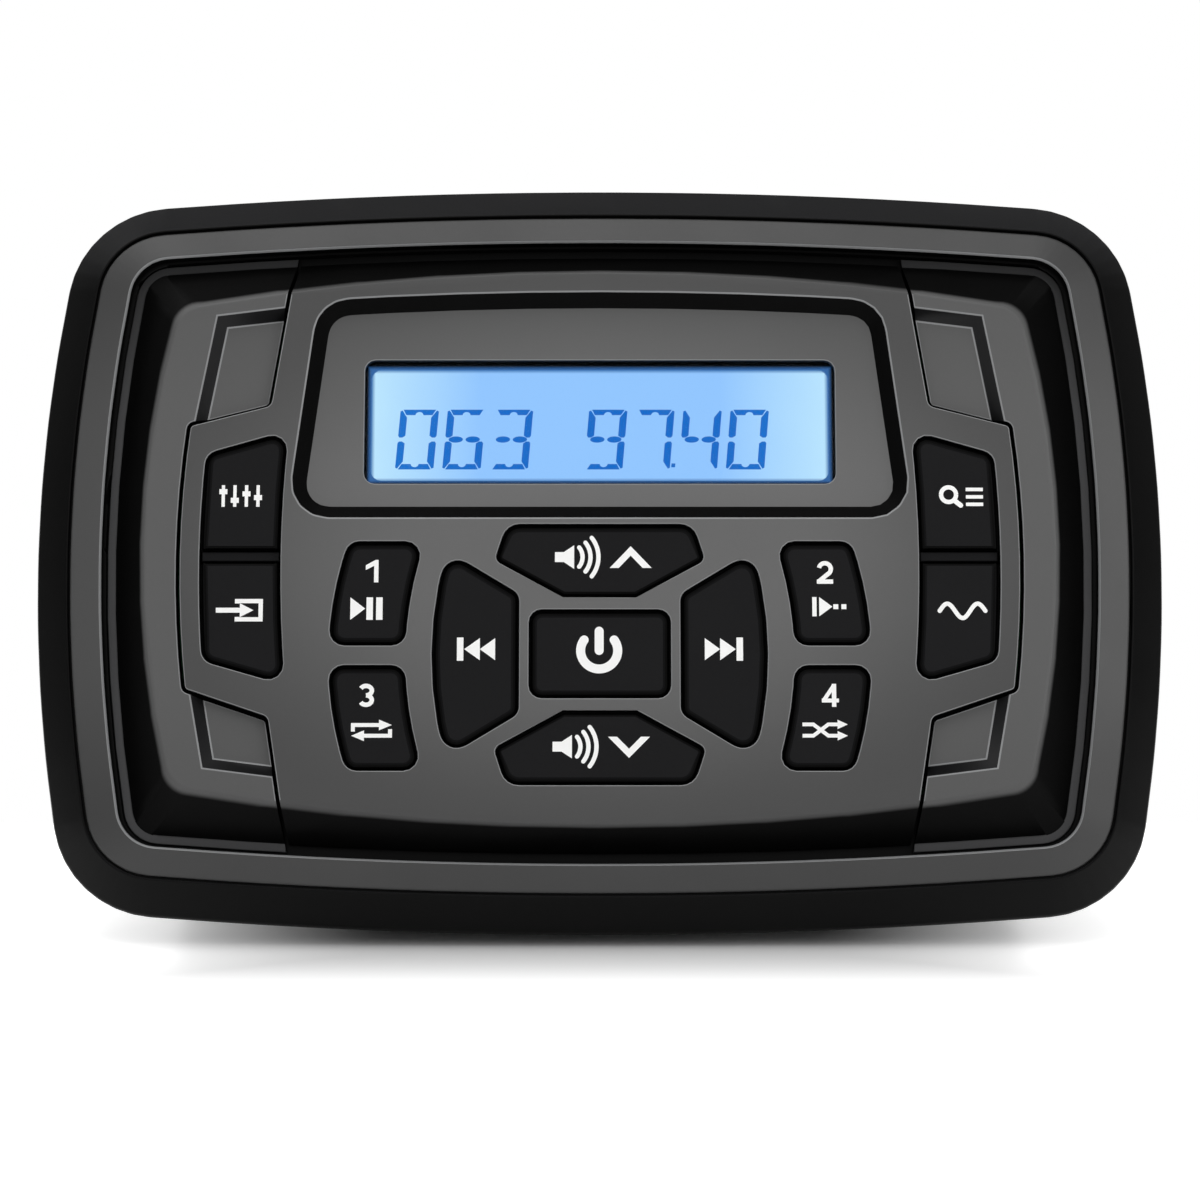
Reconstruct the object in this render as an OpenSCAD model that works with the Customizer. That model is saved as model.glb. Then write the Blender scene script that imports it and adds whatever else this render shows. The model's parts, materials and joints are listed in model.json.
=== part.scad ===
// Panel-mounted marine stereo receiver.
// Shapes are drawn as seen from the front: x to the right, y up, z out of the dashboard.
// as_mounted() then stands them up, so that the front faces -Y and the dashboard plane is Y = 0.
// An outline is [half width, half height, side bow radius, top bow radius, corner radius].

/* [Outline] */
// Overall width of the front
outer_w = 176; // [170:1:184]
// Overall height of the front
outer_h = 118.4; // [114:0.2:124]
// Radius of the bowed left and right sides
side_bow_r = 248; // [200:1:400]
// Radius of the bowed top and bottom
top_bow_r = 880; // [700:10:1200]
// Radius of the four corners
corner_r = 16.5; // [14:0.5:18]

/* [Frame] */
// Height of the frame's rim clear of the dashboard before the gasket is squeezed
rim_gap = 0.4; // [0.2:0.1:0.6]
// Level where the upright rim turns into the skirt
rim_top = 1.5; // [1.2:0.1:1.8]
// Width of the sloping skirt
skirt_w = 5.5; // [5:0.1:6]
// Level of the skirt's inner edge
skirt_top = 6.7; // [6.4:0.1:7]
// Rounding of the skirt's inner edge
skirt_edge = 0.25; // [0.15:0.05:0.4]
// Level of the seat that carries the trim ring
seat_top = 5.8; // [5.4:0.1:6.1]
// Level of the recess floor that carries the face parts
floor_top = 4; // [3.6:0.1:4.4]
// Width of the rim that hides the gasket's edge
rim_w = 1.6; // [1.2:0.1:2.4]
// Thickness of the sealing gasket
gasket_t = 1; // [0.8:0.1:1.4]
// Wall of the collar that enters the chassis
collar_t = 2; // [1.6:0.1:2.4]
// Depth of the collar behind the dashboard plane
collar_d = 7.5; // [7:0.5:9]

/* [Panel screws] */
// Distance of the panel screws from the front's left and right sides
screw_in_x = 14; // [13.5:0.1:14.5]
// Distance of the panel screws from the front's top and bottom
screw_in_y = 13.4; // [13:0.1:13.8]
// Diameter of the panel screw holes
screw_d = 3.4; // [3.2:0.1:3.6]
// Diameter of the countersinks
screw_head_d = 5; // [4.6:0.1:5.1]

/* [Trim ring] */
// Gap between the skirt and the ring
ring_gap = 0.35; // [0.2:0.05:0.5]
// Width of the ring above and below
ring_w = 4.4; // [4.2:0.1:4.8]
// How much wider the ring is at its sides
ring_side = 0.6; // [0.3:0.1:0.9]
// Level of the ring's outer edge
ring_low = 6.85; // [6.6:0.05:7.2]
// Level of the ring's inner edge
ring_high = 8.1; // [7.6:0.1:8.6]
// Rounding of the ring's edges
ring_edge = 0.35; // [0.2:0.05:0.5]
// Diameter of the ring's pegs
peg_d = 2; // [1.6:0.1:2.4]
// Length of the ring's pegs
peg_l = 2.2; // [1.6:0.1:2.6]
// Clearance round the pegs and at their tips
peg_gap = 0.15; // [0.1:0.05:0.2]

/* [Face] */
// Width of the raised face
face_w = 141.4; // [136:0.2:144]
// Height of the raised face
face_h = 87.4; // [84:0.2:89]
// Radius of the face's bowed sides
face_side_r = 144; // [120:1:200]
// Radius of the face's bowed top and bottom
face_top_r = 368; // [320:1:500]
// Corner radius of the face
face_corner_r = 4.9; // [4:0.1:7]
// Level of the face
face_top = 11.05; // [10.6:0.05:11.8]
// Rounding where the face turns into its slopes
face_edge = 0.9; // [0.5:0.1:1.2]
// Thickness of the centre panel
face_t = 2; // [1.6:0.1:2.2]
// Thickness of the cheeks behind their pockets and face
cheek_t = 3.3; // [3:0.1:3.6]
// Gap of the panel line between the centre panel and the cheeks
line_gap = 0.6; // [0.4:0.1:0.8]
// Clear gap between the trim ring's seat wall and the cheeks
ledge_gap = 0.3; // [0.2:0.1:0.5]
// Width of the flat ledge round the cheeks
ledge_w = 1.2; // [0.8:0.1:1.6]
// Level of the ledge
ledge_top = 5.4; // [5:0.1:5.8]
// Wall of the slopes
slope_t = 2; // [1.6:0.1:2.4]

/* [Panel line] */
// Half width of the centre panel at its upper shoulders
shoulder_x = 51.2; // [50.4:0.1:52]
// Height of the upper shoulders
shoulder_y = 22.1; // [21.4:0.1:23]
// Half width of the centre panel at its lower shoulders
hip_x = 50.9; // [50.2:0.1:51.6]
// Height of the lower shoulders
hip_y = -27; // [-28:0.1:-26.2]
// Half width of the ears at their ends
ear_x = 63.6; // [63.2:0.1:64]
// Height of the ears' upper end
ear_top = 18.9; // [18.6:0.1:19.6]
// Height of the ears' lower end
ear_low = -22.7; // [-23.4:0.1:-22.4]
// How far the ears' outer edge bows out
ear_bow = 1.3; // [0.8:0.1:1.8]
// Lean of the panel line above and below the shoulders, sideways per height
line_lean = 0.16; // [0.1:0.01:0.2]
// Rounding of the panel line's corners
line_r = 1; // [0.6:0.1:1.4]

/* [Pockets] */
// Depth of the corner pockets
pocket_d = 1.5; // [1:0.1:1.8]
// Width of the pockets' sloping walls
pocket_wall = 1.8; // [1.4:0.1:2.2]
// Half width to the pockets' upper outer corner
pocket_top_x = 59.6; // [59:0.1:60]
// Height of the pockets' upper outer corner
pocket_top_y = 36.3; // [35.6:0.1:36.6]
// Half width to the pockets' lower outer corner
pocket_low_x = 60.5; // [60:0.1:61]
// Height of the pockets' lower outer corner
pocket_low_y = -34.7; // [-35:0.1:-34]
// Lean of the pockets' outer walls, sideways per height
pocket_lean = 0.185; // [0.16:0.005:0.2]
// Fall of the pockets' upper and lower walls, height per width
pocket_fall = 0.125; // [0.1:0.005:0.15]

/* [Display] */
// Half width of the display well halfway up
well_x = 46.1; // [45:0.1:46.4]
// Lean of the well's sides, sideways per height
well_lean = 0.13; // [0.08:0.01:0.16]
// Height of the well's lower edge
well_low = 4.1; // [4:0.1:4.8]
// Width of the panel left above the display well
well_edge = 3.5; // [3.1:0.1:4.7]
// Drop of the well's bowed upper edge at its ends
well_bow = 1.4; // [0.8:0.1:2]
// Corner radius of the well
well_r = 5.7; // [4.4:0.1:6]
// Width of the well's sloping wall
well_wall = 2.2; // [1.8:0.05:2.3]
// Thickness of the display plate
plate_t = 1.3; // [1:0.1:1.5]
// How far the display plate reaches behind the centre panel
plate_lap = 1.5; // [1:0.1:1.8]
// Width of the window
window_w = 73.2; // [70:0.2:75]
// Height of the window
window_h = 19.7; // [18:0.1:20.4]
// Height of the window's middle
window_y = 19.8; // [19.4:0.1:20.4]
// Corner radius of the window
window_r = 1.7; // [0.8:0.1:2]
// How far the lens reaches past the window
lens_lap = 2.6; // [2:0.1:3]
// Thickness of the lens
lens_t = 1.1; // [0.9:0.1:1.2]
// Thickness of the display glass
lcd_t = 2.2; // [1.8:0.1:2.4]
// How far the display glass reaches past the window
lcd_lap = 1.4; // [1:0.1:1.8]
// Wall of the display holder
holder_t = 1.2; // [1:0.1:1.4]
// Thickness of the holder's front lip
holder_lip = 0.6; // [0.5:0.05:0.7]
// How far the holder's lip reaches into the window
lip_show = 0.9; // [0.4:0.1:1]
// Gap between the holder and the lens
lens_gap = 0.1; // [0.05:0.05:0.2]
// Clearance round the display inside its holder
holder_gap = 0.2; // [0.1:0.05:0.3]

/* [Keys] */
// Height of the middle of the key cluster
cluster_y = -17.05; // [-17.4:0.05:-16.8]
// Travel of every key
key_travel = 0.8; // [0.6:0.1:0.9]
// Gap between a key and its opening
key_gap = 0.3; // [0.25:0.05:0.4]
// Level of the keys' tops below the face
key_sink = 0.4; // [0.2:0.1:0.6]
// Rounding of the keys' upper edges
key_edge = 0.65; // [0.4:0.05:0.8]
// How far a key's flange reaches behind the panel
key_lap = 0.6; // [0.4:0.05:0.65]
// Thickness of the keys' flanges
key_flange_t = 1; // [0.8:0.1:1.1]
// Gap between the keys' flanges and the back of the panel
flange_gap = 0.3; // [0.2:0.05:0.4]
// Gap left under a plunger at the end of its travel
plunger_gap = 0.2; // [0.15:0.05:0.3]
// Distance of the volume keys' plungers from their inner edges
vol_plunger = 3.6; // [3.4:0.1:6]
// Distance of the skip keys' plungers from their inner edges
skip_plunger = 6; // [4:0.1:7]
// Diameter of the plunger behind each key
plunger_d = 4; // [3.6:0.1:4.4]
// Width of the power key
power_w = 21.8; // [21:0.1:22]
// Height of the power key
power_h = 13.8; // [13.4:0.1:14]
// Corner radius of the power key
power_r = 2; // [1.4:0.1:2.6]
// Height of the web between the power key and the volume keys
web_y = 1.85; // [1.7:0.05:2]
// Width of the web between the power key and the skip keys
web_x = 1.45; // [1.4:0.05:1.7]
// Height of a volume key
vol_h = 11.5; // [11:0.1:11.6]
// Widest part of a volume key
vol_w = 32.4; // [31.8:0.1:32.8]
// Width of a volume key's outer edge
vol_far_w = 28.7; // [28:0.1:29.2]
// Width of a volume key's inner edge
vol_near_w = 11.3; // [10.8:0.1:11.6]
// Distance from a volume key's outer edge to its widest part
vol_waist = 5.7; // [5.4:0.1:6]
// Corner radius of a volume key's outer corners
vol_r = 2.8; // [2.2:0.1:3]
// Corner radius of the volume keys' waists
vol_waist_r = 1.2; // [0.8:0.1:1.4]
// Corner radius of a volume key's other corners
vol_near_r = 0.5; // [0.4:0.1:0.8]
// Width of a skip key from its inner edge to its outer corners
skip_w = 11.2; // [10.6:0.1:11.4]
// Height of a skip key's inner edge
skip_near_h = 18.6; // [18:0.1:19]
// Height of a skip key at its outer corners
skip_far_h = 32.2; // [31.6:0.1:32.4]
// How far a skip key's outer edge bows out
skip_bow = 2.2; // [1.8:0.1:2.4]
// Corner radius of a skip key's outer corners
skip_r = 2.6; // [2:0.1:3]
// Width of a number key
num_w = 11.8; // [11.2:0.1:12]
// Height of a number key
num_h = 16.3; // [16:0.1:16.6]
// Sideways lean of a number key over its height
num_lean = 2.9; // [2.4:0.1:3.2]
// How far a number key's sides bow outwards
num_bow = 0.6; // [0.4:0.1:0.8]
// Distance of the number keys from the middle
num_x = 34.2; // [34:0.05:34.5]
// Height of the middle between the number keys
num_y = -17.3; // [-17.6:0.05:-17]
// Gap between the upper and lower number keys
num_gap = 3; // [2.6:0.1:3.2]
// Corner radius of the number and side keys
num_r = 2.3; // [1.8:0.1:2.6]
// Half width to the side keys' inner corners
side_near_x = 48.1; // [47.9:0.05:48.4]
// Half width to the side keys' outer corners
side_far_x = 60.9; // [60.6:0.1:61.2]
// Height of the side keys' upper inner corner
side_near_top = 18; // [17.6:0.1:18.2]
// Height of the side keys' upper outer corner
side_far_top = 14.3; // [14:0.1:14.8]
// Height of the side keys' lower inner corner
side_near_low = -21.9; // [-22:0.1:-21.4]
// Height of the side keys' lower outer corner
side_far_low = -18.2; // [-18.6:0.1:-17.8]
// How far the side keys' long edges bow outwards
side_bow = 1; // [0.8:0.1:1.2]
// How far the side keys' outer edges bow out
side_far_bow = 0.7; // [0.5:0.1:0.9]
// Height of the bar between the side keys
bar_y = -1.75; // [-2:0.05:-1.5]
// Width of the bar between the side keys
bar_h = 1.5; // [1.2:0.1:1.8]
// Level of the bar below the face
bar_sink = 1.1; // [0.9:0.1:1.4]

/* [Keypad and front board] */
// Thickness of the keypad mat
mat_t = 1; // [0.8:0.1:1.2]
// Height of the mat's domes
dome_h = 3.2; // [2.6:0.1:3.4]
// Wall of the mat's domes
dome_t = 0.7; // [0.5:0.1:0.9]
// Clearance between a plunger and its dome
dome_gap = 0.6; // [0.5:0.1:0.8]
// Height of the contact under each key
contact_h = 0.6; // [0.4:0.1:0.7]
// Thickness of both circuit boards
board_t = 1.6; // [1.2:0.1:2]
// Level of the front board's front side
board_top = 1.8; // [1.6:0.1:2]
// Clearance round the front board
board_gap = 0.4; // [0.3:0.1:0.8]
// Diameter of the posts that carry the front board
post_d = 4.4; // [4:0.1:4.6]
// Bore of the posts
post_bore = 2.2; // [2:0.1:2.4]
// Distance of the centre panel's upper posts from the middle
post_top_x = 20.4; // [20:0.1:20.8]
// Height of the centre panel's upper posts
post_top = 1.3; // [1:0.1:1.5]
// Distance of the centre panel's lower posts from the middle
post_low_x = 45; // [44.4:0.1:46]
// Height of the centre panel's lower posts
post_low = -29; // [-29.6:0.1:-28]
// Distance of the cheeks' posts from the middle
cheek_post_x = 57; // [56:0.1:58]
// Height of the cheeks' upper posts
cheek_post_top = 28; // [26:0.1:30]
// Height of the cheeks' lower posts
cheek_post_low = -29.5; // [-30.5:0.1:-29]
// How far the mat stays inside the board's edge and clear of the display
mat_in = 2; // [1.6:0.1:2.4]
// Clearance round posts, pillars and pads that pass through a hole
hole_gap = 0.3; // [0.2:0.05:0.4]
// Material left at the end of a blind screw hole
blind_t = 1.5; // [1:0.1:2]

/* [Chassis] */
// Width of the chassis
chassis_w = 142; // [141:0.5:144]
// Height of the chassis
chassis_h = 84; // [83:0.5:85]
// Depth of the chassis behind the dashboard plane
chassis_d = 56; // [54:1:70]
// Wall of the chassis
chassis_t = 1.8; // [1.5:0.1:2]
// Corner radius of the chassis
chassis_r = 6; // [5:0.5:7]
// Clearance between the chassis and what slides into it
chassis_gap = 0.2; // [0.15:0.05:0.4]
// Thickness of the rear cover
cover_t = 2; // [1.6:0.1:2.6]
// Depth of the rear cover's locating rib
rib_d = 2; // [1.5:0.1:3]
// Wall of the rear cover's locating rib
rib_t = 1.4; // [1:0.1:1.8]
// Diameter of the corner pillars for the rear screws
pillar_d = 7; // [6.4:0.1:7.6]
// Length of the corner pillars
pillar_l = 18; // [12:1:24]
// Distance of the pillars' centres from the chassis walls
pillar_in = 3.2; // [2.8:0.1:3.4]
// Depth of the side screws behind the dashboard plane
side_screw_d = 4.8; // [4.6:0.1:5.2]
// Height of the side screws above and below the middle
side_screw_y = 24; // [20:0.5:28]

/* [Small screws] */
// Shank diameter of the assembly screws
shank_d = 2; // [1.8:0.1:2.1]
// Head diameter of the assembly screws
head_d = 4.4; // [4:0.1:4.8]
// Head height of the assembly screws
head_h = 1.4; // [1.2:0.1:1.8]
// Length of the assembly screws under the head
shank_l = 5; // [4.6:0.1:5.6]
// Width of the cross recess in each head
recess_w = 0.6; // [0.5:0.1:0.8]
// Length of the cross recess in each head
recess_l = 2.6; // [2.2:0.1:3]
// Clearance hole for the assembly screws
clear_d = 2.6; // [2.4:0.1:3]

/* [Main board] */
// Width of the main board
main_w = 124; // [118:1:128]
// Depth of the main board
main_d = 44; // [42:0.5:46]
// Depth of the main board's front edge behind the dashboard plane
main_front = 7; // [6.5:0.5:8]
// Height of the main board's upper side above the chassis's underside
main_above = 18.1; // [17.6:0.1:19]
// Distance of the standoffs from the middle
standoff_x = 55; // [53:0.5:56]
// Diameter of the standoffs
standoff_d = 6; // [5:0.1:7]
// Distance of the standoffs from the board's front and rear edges
standoff_in = 5; // [4.5:0.1:6]
// Width of the header between the two boards
header_w = 36; // [28:1:44]
// Height of the header
header_h = 9; // [7:0.5:10]
// Wall of the header
header_t = 1; // [0.8:0.1:1.4]
// How far the header reaches over the main board
header_lap = 6; // [4:0.5:8]
// Number of capacitors
cap_count = 3; // [1:1:3]
// Diameter of a capacitor
cap_d = 12; // [8:0.5:12.5]
// Height of a capacitor
cap_h = 20; // [14:0.5:26]
// Gap between the capacitors
cap_gap = 2; // [1.5:0.1:3]
// Rounding of a capacitor's top and depth of its crimp
cap_edge = 0.5; // [0.3:0.1:0.8]
// Height of a capacitor's crimp
cap_crimp = 2; // [1.5:0.1:3]
// Place of the first capacitor across the board
cap_x = 26; // [24:0.5:28]
// Depth of the capacitors behind the dashboard plane
cap_z = 28; // [26:0.5:32]
// Radius of the choke's ring
choke_r = 7; // [6:0.5:8]
// Radius of the choke's winding
choke_wire_r = 3; // [2:0.1:3.2]
// Thickness of the choke's base
choke_base = 1; // [0.8:0.1:1.4]
// Place of the choke across the board
choke_x = 4; // [0:0.5:6]
// Depth of the choke behind the dashboard plane
choke_z = 32; // [28:0.5:34]
// Place of the tuner's left side
tuner_x = -46; // [-48:0.5:-44]
// Width of the tuner
tuner_w = 32; // [26:0.5:34]
// Height of the tuner
tuner_h = 10; // [8:0.5:12]
// Thickness of the tuner's lid
tuner_lid = 0.4; // [0.3:0.1:0.6]
// Depth of the tuner, front to rear
tuner_d = 22; // [18:0.5:24]
// Depth of the tuner's front behind the dashboard plane
tuner_z = 18; // [16:0.5:20]

/* [Rear] */
// Width of the heat sink
sink_w = 96; // [88:1:104]
// Height of the heat sink
sink_h = 54; // [50:1:60]
// How far the heat sink reaches below its pad
sink_foot = 0.6; // [0.4:0.1:1]
// Thickness of the heat sink's base
sink_t = 3.5; // [3:0.1:4.5]
// Number of fins
fin_count = 11; // [9:1:13]
// Thickness of a fin
fin_t = 1.8; // [1.4:0.1:2.2]
// Height of a fin
fin_h = 10; // [8:0.5:14]
// Width of the pad that passes through the rear cover
pad_w = 44; // [42:0.5:48]
// Height of the pad
pad_h = 16; // [15:0.5:17]
// Width of the amplifier chip
amp_w = 28; // [26:0.5:30]
// Height of the amplifier chip
amp_h = 16; // [15:0.5:17]
// Thickness of the amplifier chip
amp_t = 4; // [3.5:0.1:4.5]
// Length of the amplifier chip's leads
lead_l = 2; // [1.6:0.1:2.4]
// Width of the amplifier chip's leads
lead_w = 0.7; // [0.5:0.1:0.9]
// Height of the amplifier clamp
clamp_h = 8; // [6:0.5:9]
// Thickness of the amplifier clamp
clamp_t = 1.5; // [1.2:0.1:2]
// Number of the amplifier chip's leads
lead_count = 13; // [9:2:17]
// Height of the sockets' row above the chassis's underside
socket_above = 9; // [8.6:0.1:9.4]
// Place of the aerial socket across the rear
aerial_x = -48; // [-52:0.5:-44]
// Bore of the aerial socket
aerial_bore = 8.6; // [8:0.1:9]
// Outer diameter of the aerial socket
aerial_d = 12; // [11.4:0.1:12.6]
// Length of the aerial socket behind the rear cover
aerial_l = 9; // [8:0.5:12]
// Place of the supply and speaker lead's gland across the rear
supply_x = -8; // [-12:0.5:-2]
// Bore of the supply and speaker lead's gland
supply_bore = 9; // [8:0.1:9.4]
// Place of the audio lead's gland across the rear
audio_x = 32; // [26:0.5:40]
// Bore of the audio lead's gland
audio_bore = 7; // [6:0.1:8]
// Wall of the glands
gland_t = 1.8; // [1.5:0.1:2]
// Length of the glands behind the rear cover
gland_l = 8; // [6:0.5:10]
// Width of the lips that hold the glands and the aerial socket
gland_lip = 1.6; // [1.2:0.1:1.8]

/* [Hidden] */
$fn = 48;

// Colours
charcoal = "#5a5b5d";
black = "#141414";
rubber = "#202021";
glass = "#9cccff";
board_green = "#1f5a34";
metal = "#b8bcc0";
dark_metal = "#3a3c3f";

// Points along each bowed edge and round each corner
side_n = 8;
top_n = 10;
corner_n = 8;
key_n = 4;
// Smallest radius left on an inset corner, and how far cuts run past what they open
min_r = 0.1;
past = 0.5;
far = 100;
pocket_run = 20;

// Outlines and levels that the sizes above lead to
outline = [outer_w / 2, outer_h / 2, side_bow_r, top_bow_r, corner_r];
inside = [outer_w / 2 - ring_side, outer_h / 2, side_bow_r - ring_side, top_bow_r, corner_r];
screw_pitch_x = outer_w - 2 * screw_in_x;
screw_pitch_y = outer_h - 2 * screw_in_y;
face = [face_w / 2, face_h / 2, face_side_r, face_top_r, face_corner_r];
chassis_box = [chassis_w, chassis_h, chassis_r];
collar_out = chassis_t + chassis_gap;
collar_in = collar_out + collar_t;
ring_out = skirt_w + ring_gap;
ring_in = ring_out + ring_w;
seat_in = ring_in + ring_gap;
ledge_out = seat_in + ledge_gap;
ledge_in = ledge_out + ledge_w;
panel_back = face_top - face_t;
cheek_back = face_top - cheek_t;
plate_back = panel_back - plate_t;
lens_back = plate_back - lens_t;
holder_top = lens_back - lens_gap;
lcd_top = holder_top - holder_lip;
lcd_back = lcd_top - lcd_t;
board_back = board_top - board_t;
mat_top = board_top + mat_t;
contact_top = board_top + contact_h;
key_top = face_top - key_sink;
flange_top = panel_back - flange_gap;
flange_back = flange_top - key_flange_t;
plunger_end = contact_top + key_travel + plunger_gap;
cover_back = -chassis_d - cover_t;
sink_back = cover_back - sink_t;
main_y = main_above - chassis_h / 2;
main_low = main_y - board_t;
main_rear = main_front + main_d;
pad_y = main_y + lead_l + amp_h / 2;
pad_front = -chassis_d + rib_d;
sink_y = pad_y - pad_h / 2 - sink_foot + sink_h / 2;
socket_y = socket_above - chassis_h / 2;
pillar_x = chassis_w / 2 - chassis_t - pillar_in;
pillar_y = chassis_h / 2 - chassis_t - pillar_in;
front_posts = [for (s = [-1, 1]) each [[s * post_top_x, post_top], [s * post_low_x, post_low]]];
cheek_posts = [for (y = [cheek_post_top, cheek_post_low]) [cheek_post_x, y]];
board_posts = concat(front_posts, cheek_posts, [for (p = cheek_posts) [-p[0], p[1]]]);
peg_in = (ring_out + ring_in) / 2;
peg_spots = [for (s = [-1, 1]) each [[s * (outer_w / 2 - peg_in), 0], [0, s * (outer_h / 2 - peg_in)]]];

// Skirt between the rim and its inner edge, as shares of its width and of its height
skirt_shape = [[0, 0], [0.06, 0.18]];
// Angles of the rounding where the slopes turn into the face, and of a key's upper edge
face_turn = [45, 60, 75, 90];
key_turn = [0, 30, 60, 90];

// Key corners, counter-clockwise, each [x, y, radius]
power_corners = [for (c = [[1, -1], [1, 1], [-1, 1], [-1, -1]])
    [c[0] * power_w / 2, cluster_y + c[1] * power_h / 2, power_r]];
vol_near_y = cluster_y + power_h / 2 + web_y;
vol_corners = concat(
    [[vol_near_w / 2, vol_near_y, vol_near_r], [vol_w / 2, vol_near_y + vol_h - vol_waist, vol_waist_r]],
    [for (s = [1, -1]) [s * vol_far_w / 2, vol_near_y + vol_h, vol_r]],
    [[-vol_w / 2, vol_near_y + vol_h - vol_waist, vol_waist_r], [-vol_near_w / 2, vol_near_y, vol_near_r]]);
skip_near_x = power_w / 2 + web_x;
skip_far_x = skip_near_x + skip_w;
skip_low = cluster_y - skip_far_h / 2;
skip_high = cluster_y + skip_far_h / 2;
skip_corners = concat(
    [for (s = [1, -1]) [skip_near_x, cluster_y + s * skip_near_h / 2, power_r]],
    [[skip_far_x, skip_low, skip_r]],
    bowed_run([skip_far_x, skip_low], [skip_far_x, skip_high], skip_bow, 6),
    [[skip_far_x, skip_high, skip_r]]);
num_low = num_y + num_gap / 2;
function num_corner(s, f) = [num_x + s * num_w / 2 + num_lean * (0.5 - f), num_low + f * num_h];
num_corners = concat(
    [for (s = [-1, 1]) concat(num_corner(s, 0), num_r)],
    bowed_run(num_corner(1, 0), num_corner(1, 1), num_bow, 5),
    [for (s = [1, -1]) concat(num_corner(s, 1), num_r)],
    bowed_run(num_corner(-1, 1), num_corner(-1, 0), -num_bow, 5));
slot_corners = concat(
    [[side_near_x, side_near_top, num_r]],
    bowed_run([side_near_x, side_near_top], [side_near_x, side_near_low], -side_bow, 8),
    [[side_near_x, side_near_low, num_r], [side_far_x, side_far_low, num_r]],
    bowed_run([side_far_x, side_far_low], [side_far_x, side_far_top], side_far_bow, 8),
    [[side_far_x, side_far_top, num_r]]);

// Plunger places of the keys
vol_spot = vol_near_y + vol_plunger - cluster_y;
skip_spot = skip_near_x + skip_plunger;
num_spot = num_low + num_h / 2;
side_spot_x = (side_near_x + side_far_x) / 2;
side_spot_top = (side_far_top + bar_y) / 2;
side_spot_low = (side_far_low + bar_y) / 2;
right_spots = [[skip_spot, cluster_y], [num_x, num_spot], [num_x, 2 * num_y - num_spot],
    [side_spot_x, side_spot_top], [side_spot_x, side_spot_low]];
key_spots = concat([[0, cluster_y], [0, cluster_y + vol_spot], [0, cluster_y - vol_spot]],
    right_spots, [for (p = right_spots) [-p[0], p[1]]]);

// Unit vector, and a vector turned a quarter to the left
function unit(v) = v / norm(v);
function turned(v) = [-v[1], v[0]];
function flat(c) = [c[0], c[1]];

// Inner points of a bowed edge from p to q that rises to its right
function bowed_run(p, q, rise, n) = [
    for (i = [1 : n - 1])
    let (f = i / n, m = p + f * (q - p) - 4 * f * (1 - f) * rise * turned(unit(q - p)))
    [m[0], m[1], 0]
];

// Rounded polygon of corners [x, y, radius], moved inwards by inset
function rounded(c, inset = 0) = [
    for (i = [0 : len(c) - 1])
    let (p = flat(c[i]),
         n0 = turned(unit(p - flat(c[(i + len(c) - 1) % len(c)]))),
         n1 = turned(unit(flat(c[(i + 1) % len(c)]) - p)),
         m = (n0 + n1) / (1 + n0 * n1),
         turn = atan2(n0[0] * n1[1] - n0[1] * n1[0], n0 * n1),
         s = turn < 0 ? -1 : 1,
         is_round = c[i][2] > 0,
         r = is_round ? max(c[i][2] - s * inset, min_r) : 0,
         middle = p + (inset + s * r) * m,
         t0 = atan2(n0[1], n0[0]))
    for (k = [0 : is_round ? key_n : 0])
    let (t = t0 + turn * k / key_n)
    middle - s * r * [cos(t), sin(t)]
];

// Mirror images of a corner list, kept counter-clockwise
function across(c) = [for (i = [len(c) - 1 : -1 : 0]) [-c[i][0], c[i][1], c[i][2]]];
function upended(c, y) = [for (i = [len(c) - 1 : -1 : 0]) [c[i][0], 2 * y - c[i][1], c[i][2]]];

// Middle of an outline's upper right corner arc
function corner_at(a, b, rs, rt, rc) =
    let (p = rs - a, q = rt - b, near = rs - rc, wide = rt - rc, d = norm([p, q]),
         m = (near * near - wide * wide + d * d) / (2 * d), h = sqrt(near * near - m * m))
    [-p + (m * p + h * q) / d, (-m * q + h * p) / d];

// Points round a bowed outline, moved inwards by inset
function bowed(o, inset = 0) =
    let (a = o[0] - inset, b = o[1] - inset, rs = o[2] - inset, rt = o[3] - inset,
         rc = max(o[4] - inset, min_r), k = corner_at(a, b, rs, rt, rc),
         sa = atan2(k[1], k[0] + rs - a), ta = atan2(k[1] + rt - b, k[0]))
    concat(
        arc([a - rs, 0], rs, -sa, sa, side_n, 0),
        arc([k[0], k[1]], rc, sa, ta, corner_n, 1),
        arc([0, b - rt], rt, ta, 180 - ta, top_n, 0),
        arc([-k[0], k[1]], rc, 180 - ta, 180 - sa, corner_n, 1),
        arc([rs - a, 0], rs, 180 - sa, 180 + sa, side_n, 0),
        arc([-k[0], -k[1]], rc, 180 + sa, 180 + ta, corner_n, 1),
        arc([0, rt - b], rt, 180 + ta, 360 - ta, top_n, 0),
        arc([k[0], -k[1]], rc, 360 - ta, 360 - sa, corner_n, 1));

// Points of an arc in n steps, with skip points left off at each end
function arc(c, r, from, to, n, skip) = [
    for (i = [skip : n - skip])
    let (t = from + (to - from) * i / n)
    c + r * [cos(t), sin(t)]
];

// Points round a box [width, height, corner radius] with the count that bowed() gives
function box_ring(b, inset) =
    bowed([b[0] / 2, b[1] / 2, far * b[0], far * b[1], b[2]], inset);

// Triangles between ring r and ring q of n points each
function band(n, r, q) = [
    for (i = [0 : n - 1])
    let (j = (i + 1) % n)
    each [[r * n + i, q * n + i, q * n + j], [r * n + i, q * n + j, r * n + j]]
];

// Solid through a stack of rings, each [points, level]
module loft(rings) {
    n = len(rings[0][0]);
    last = len(rings) - 1;
    polyhedron(
        points = [for (r = rings) for (p = r[0]) [p[0], p[1], r[1]]],
        faces = concat(
            [[for (i = [0 : n - 1]) i], [for (i = [n - 1 : -1 : 0]) last * n + i]],
            [for (r = [0 : last - 1]) each band(n, r, r + 1)]));
}

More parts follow.
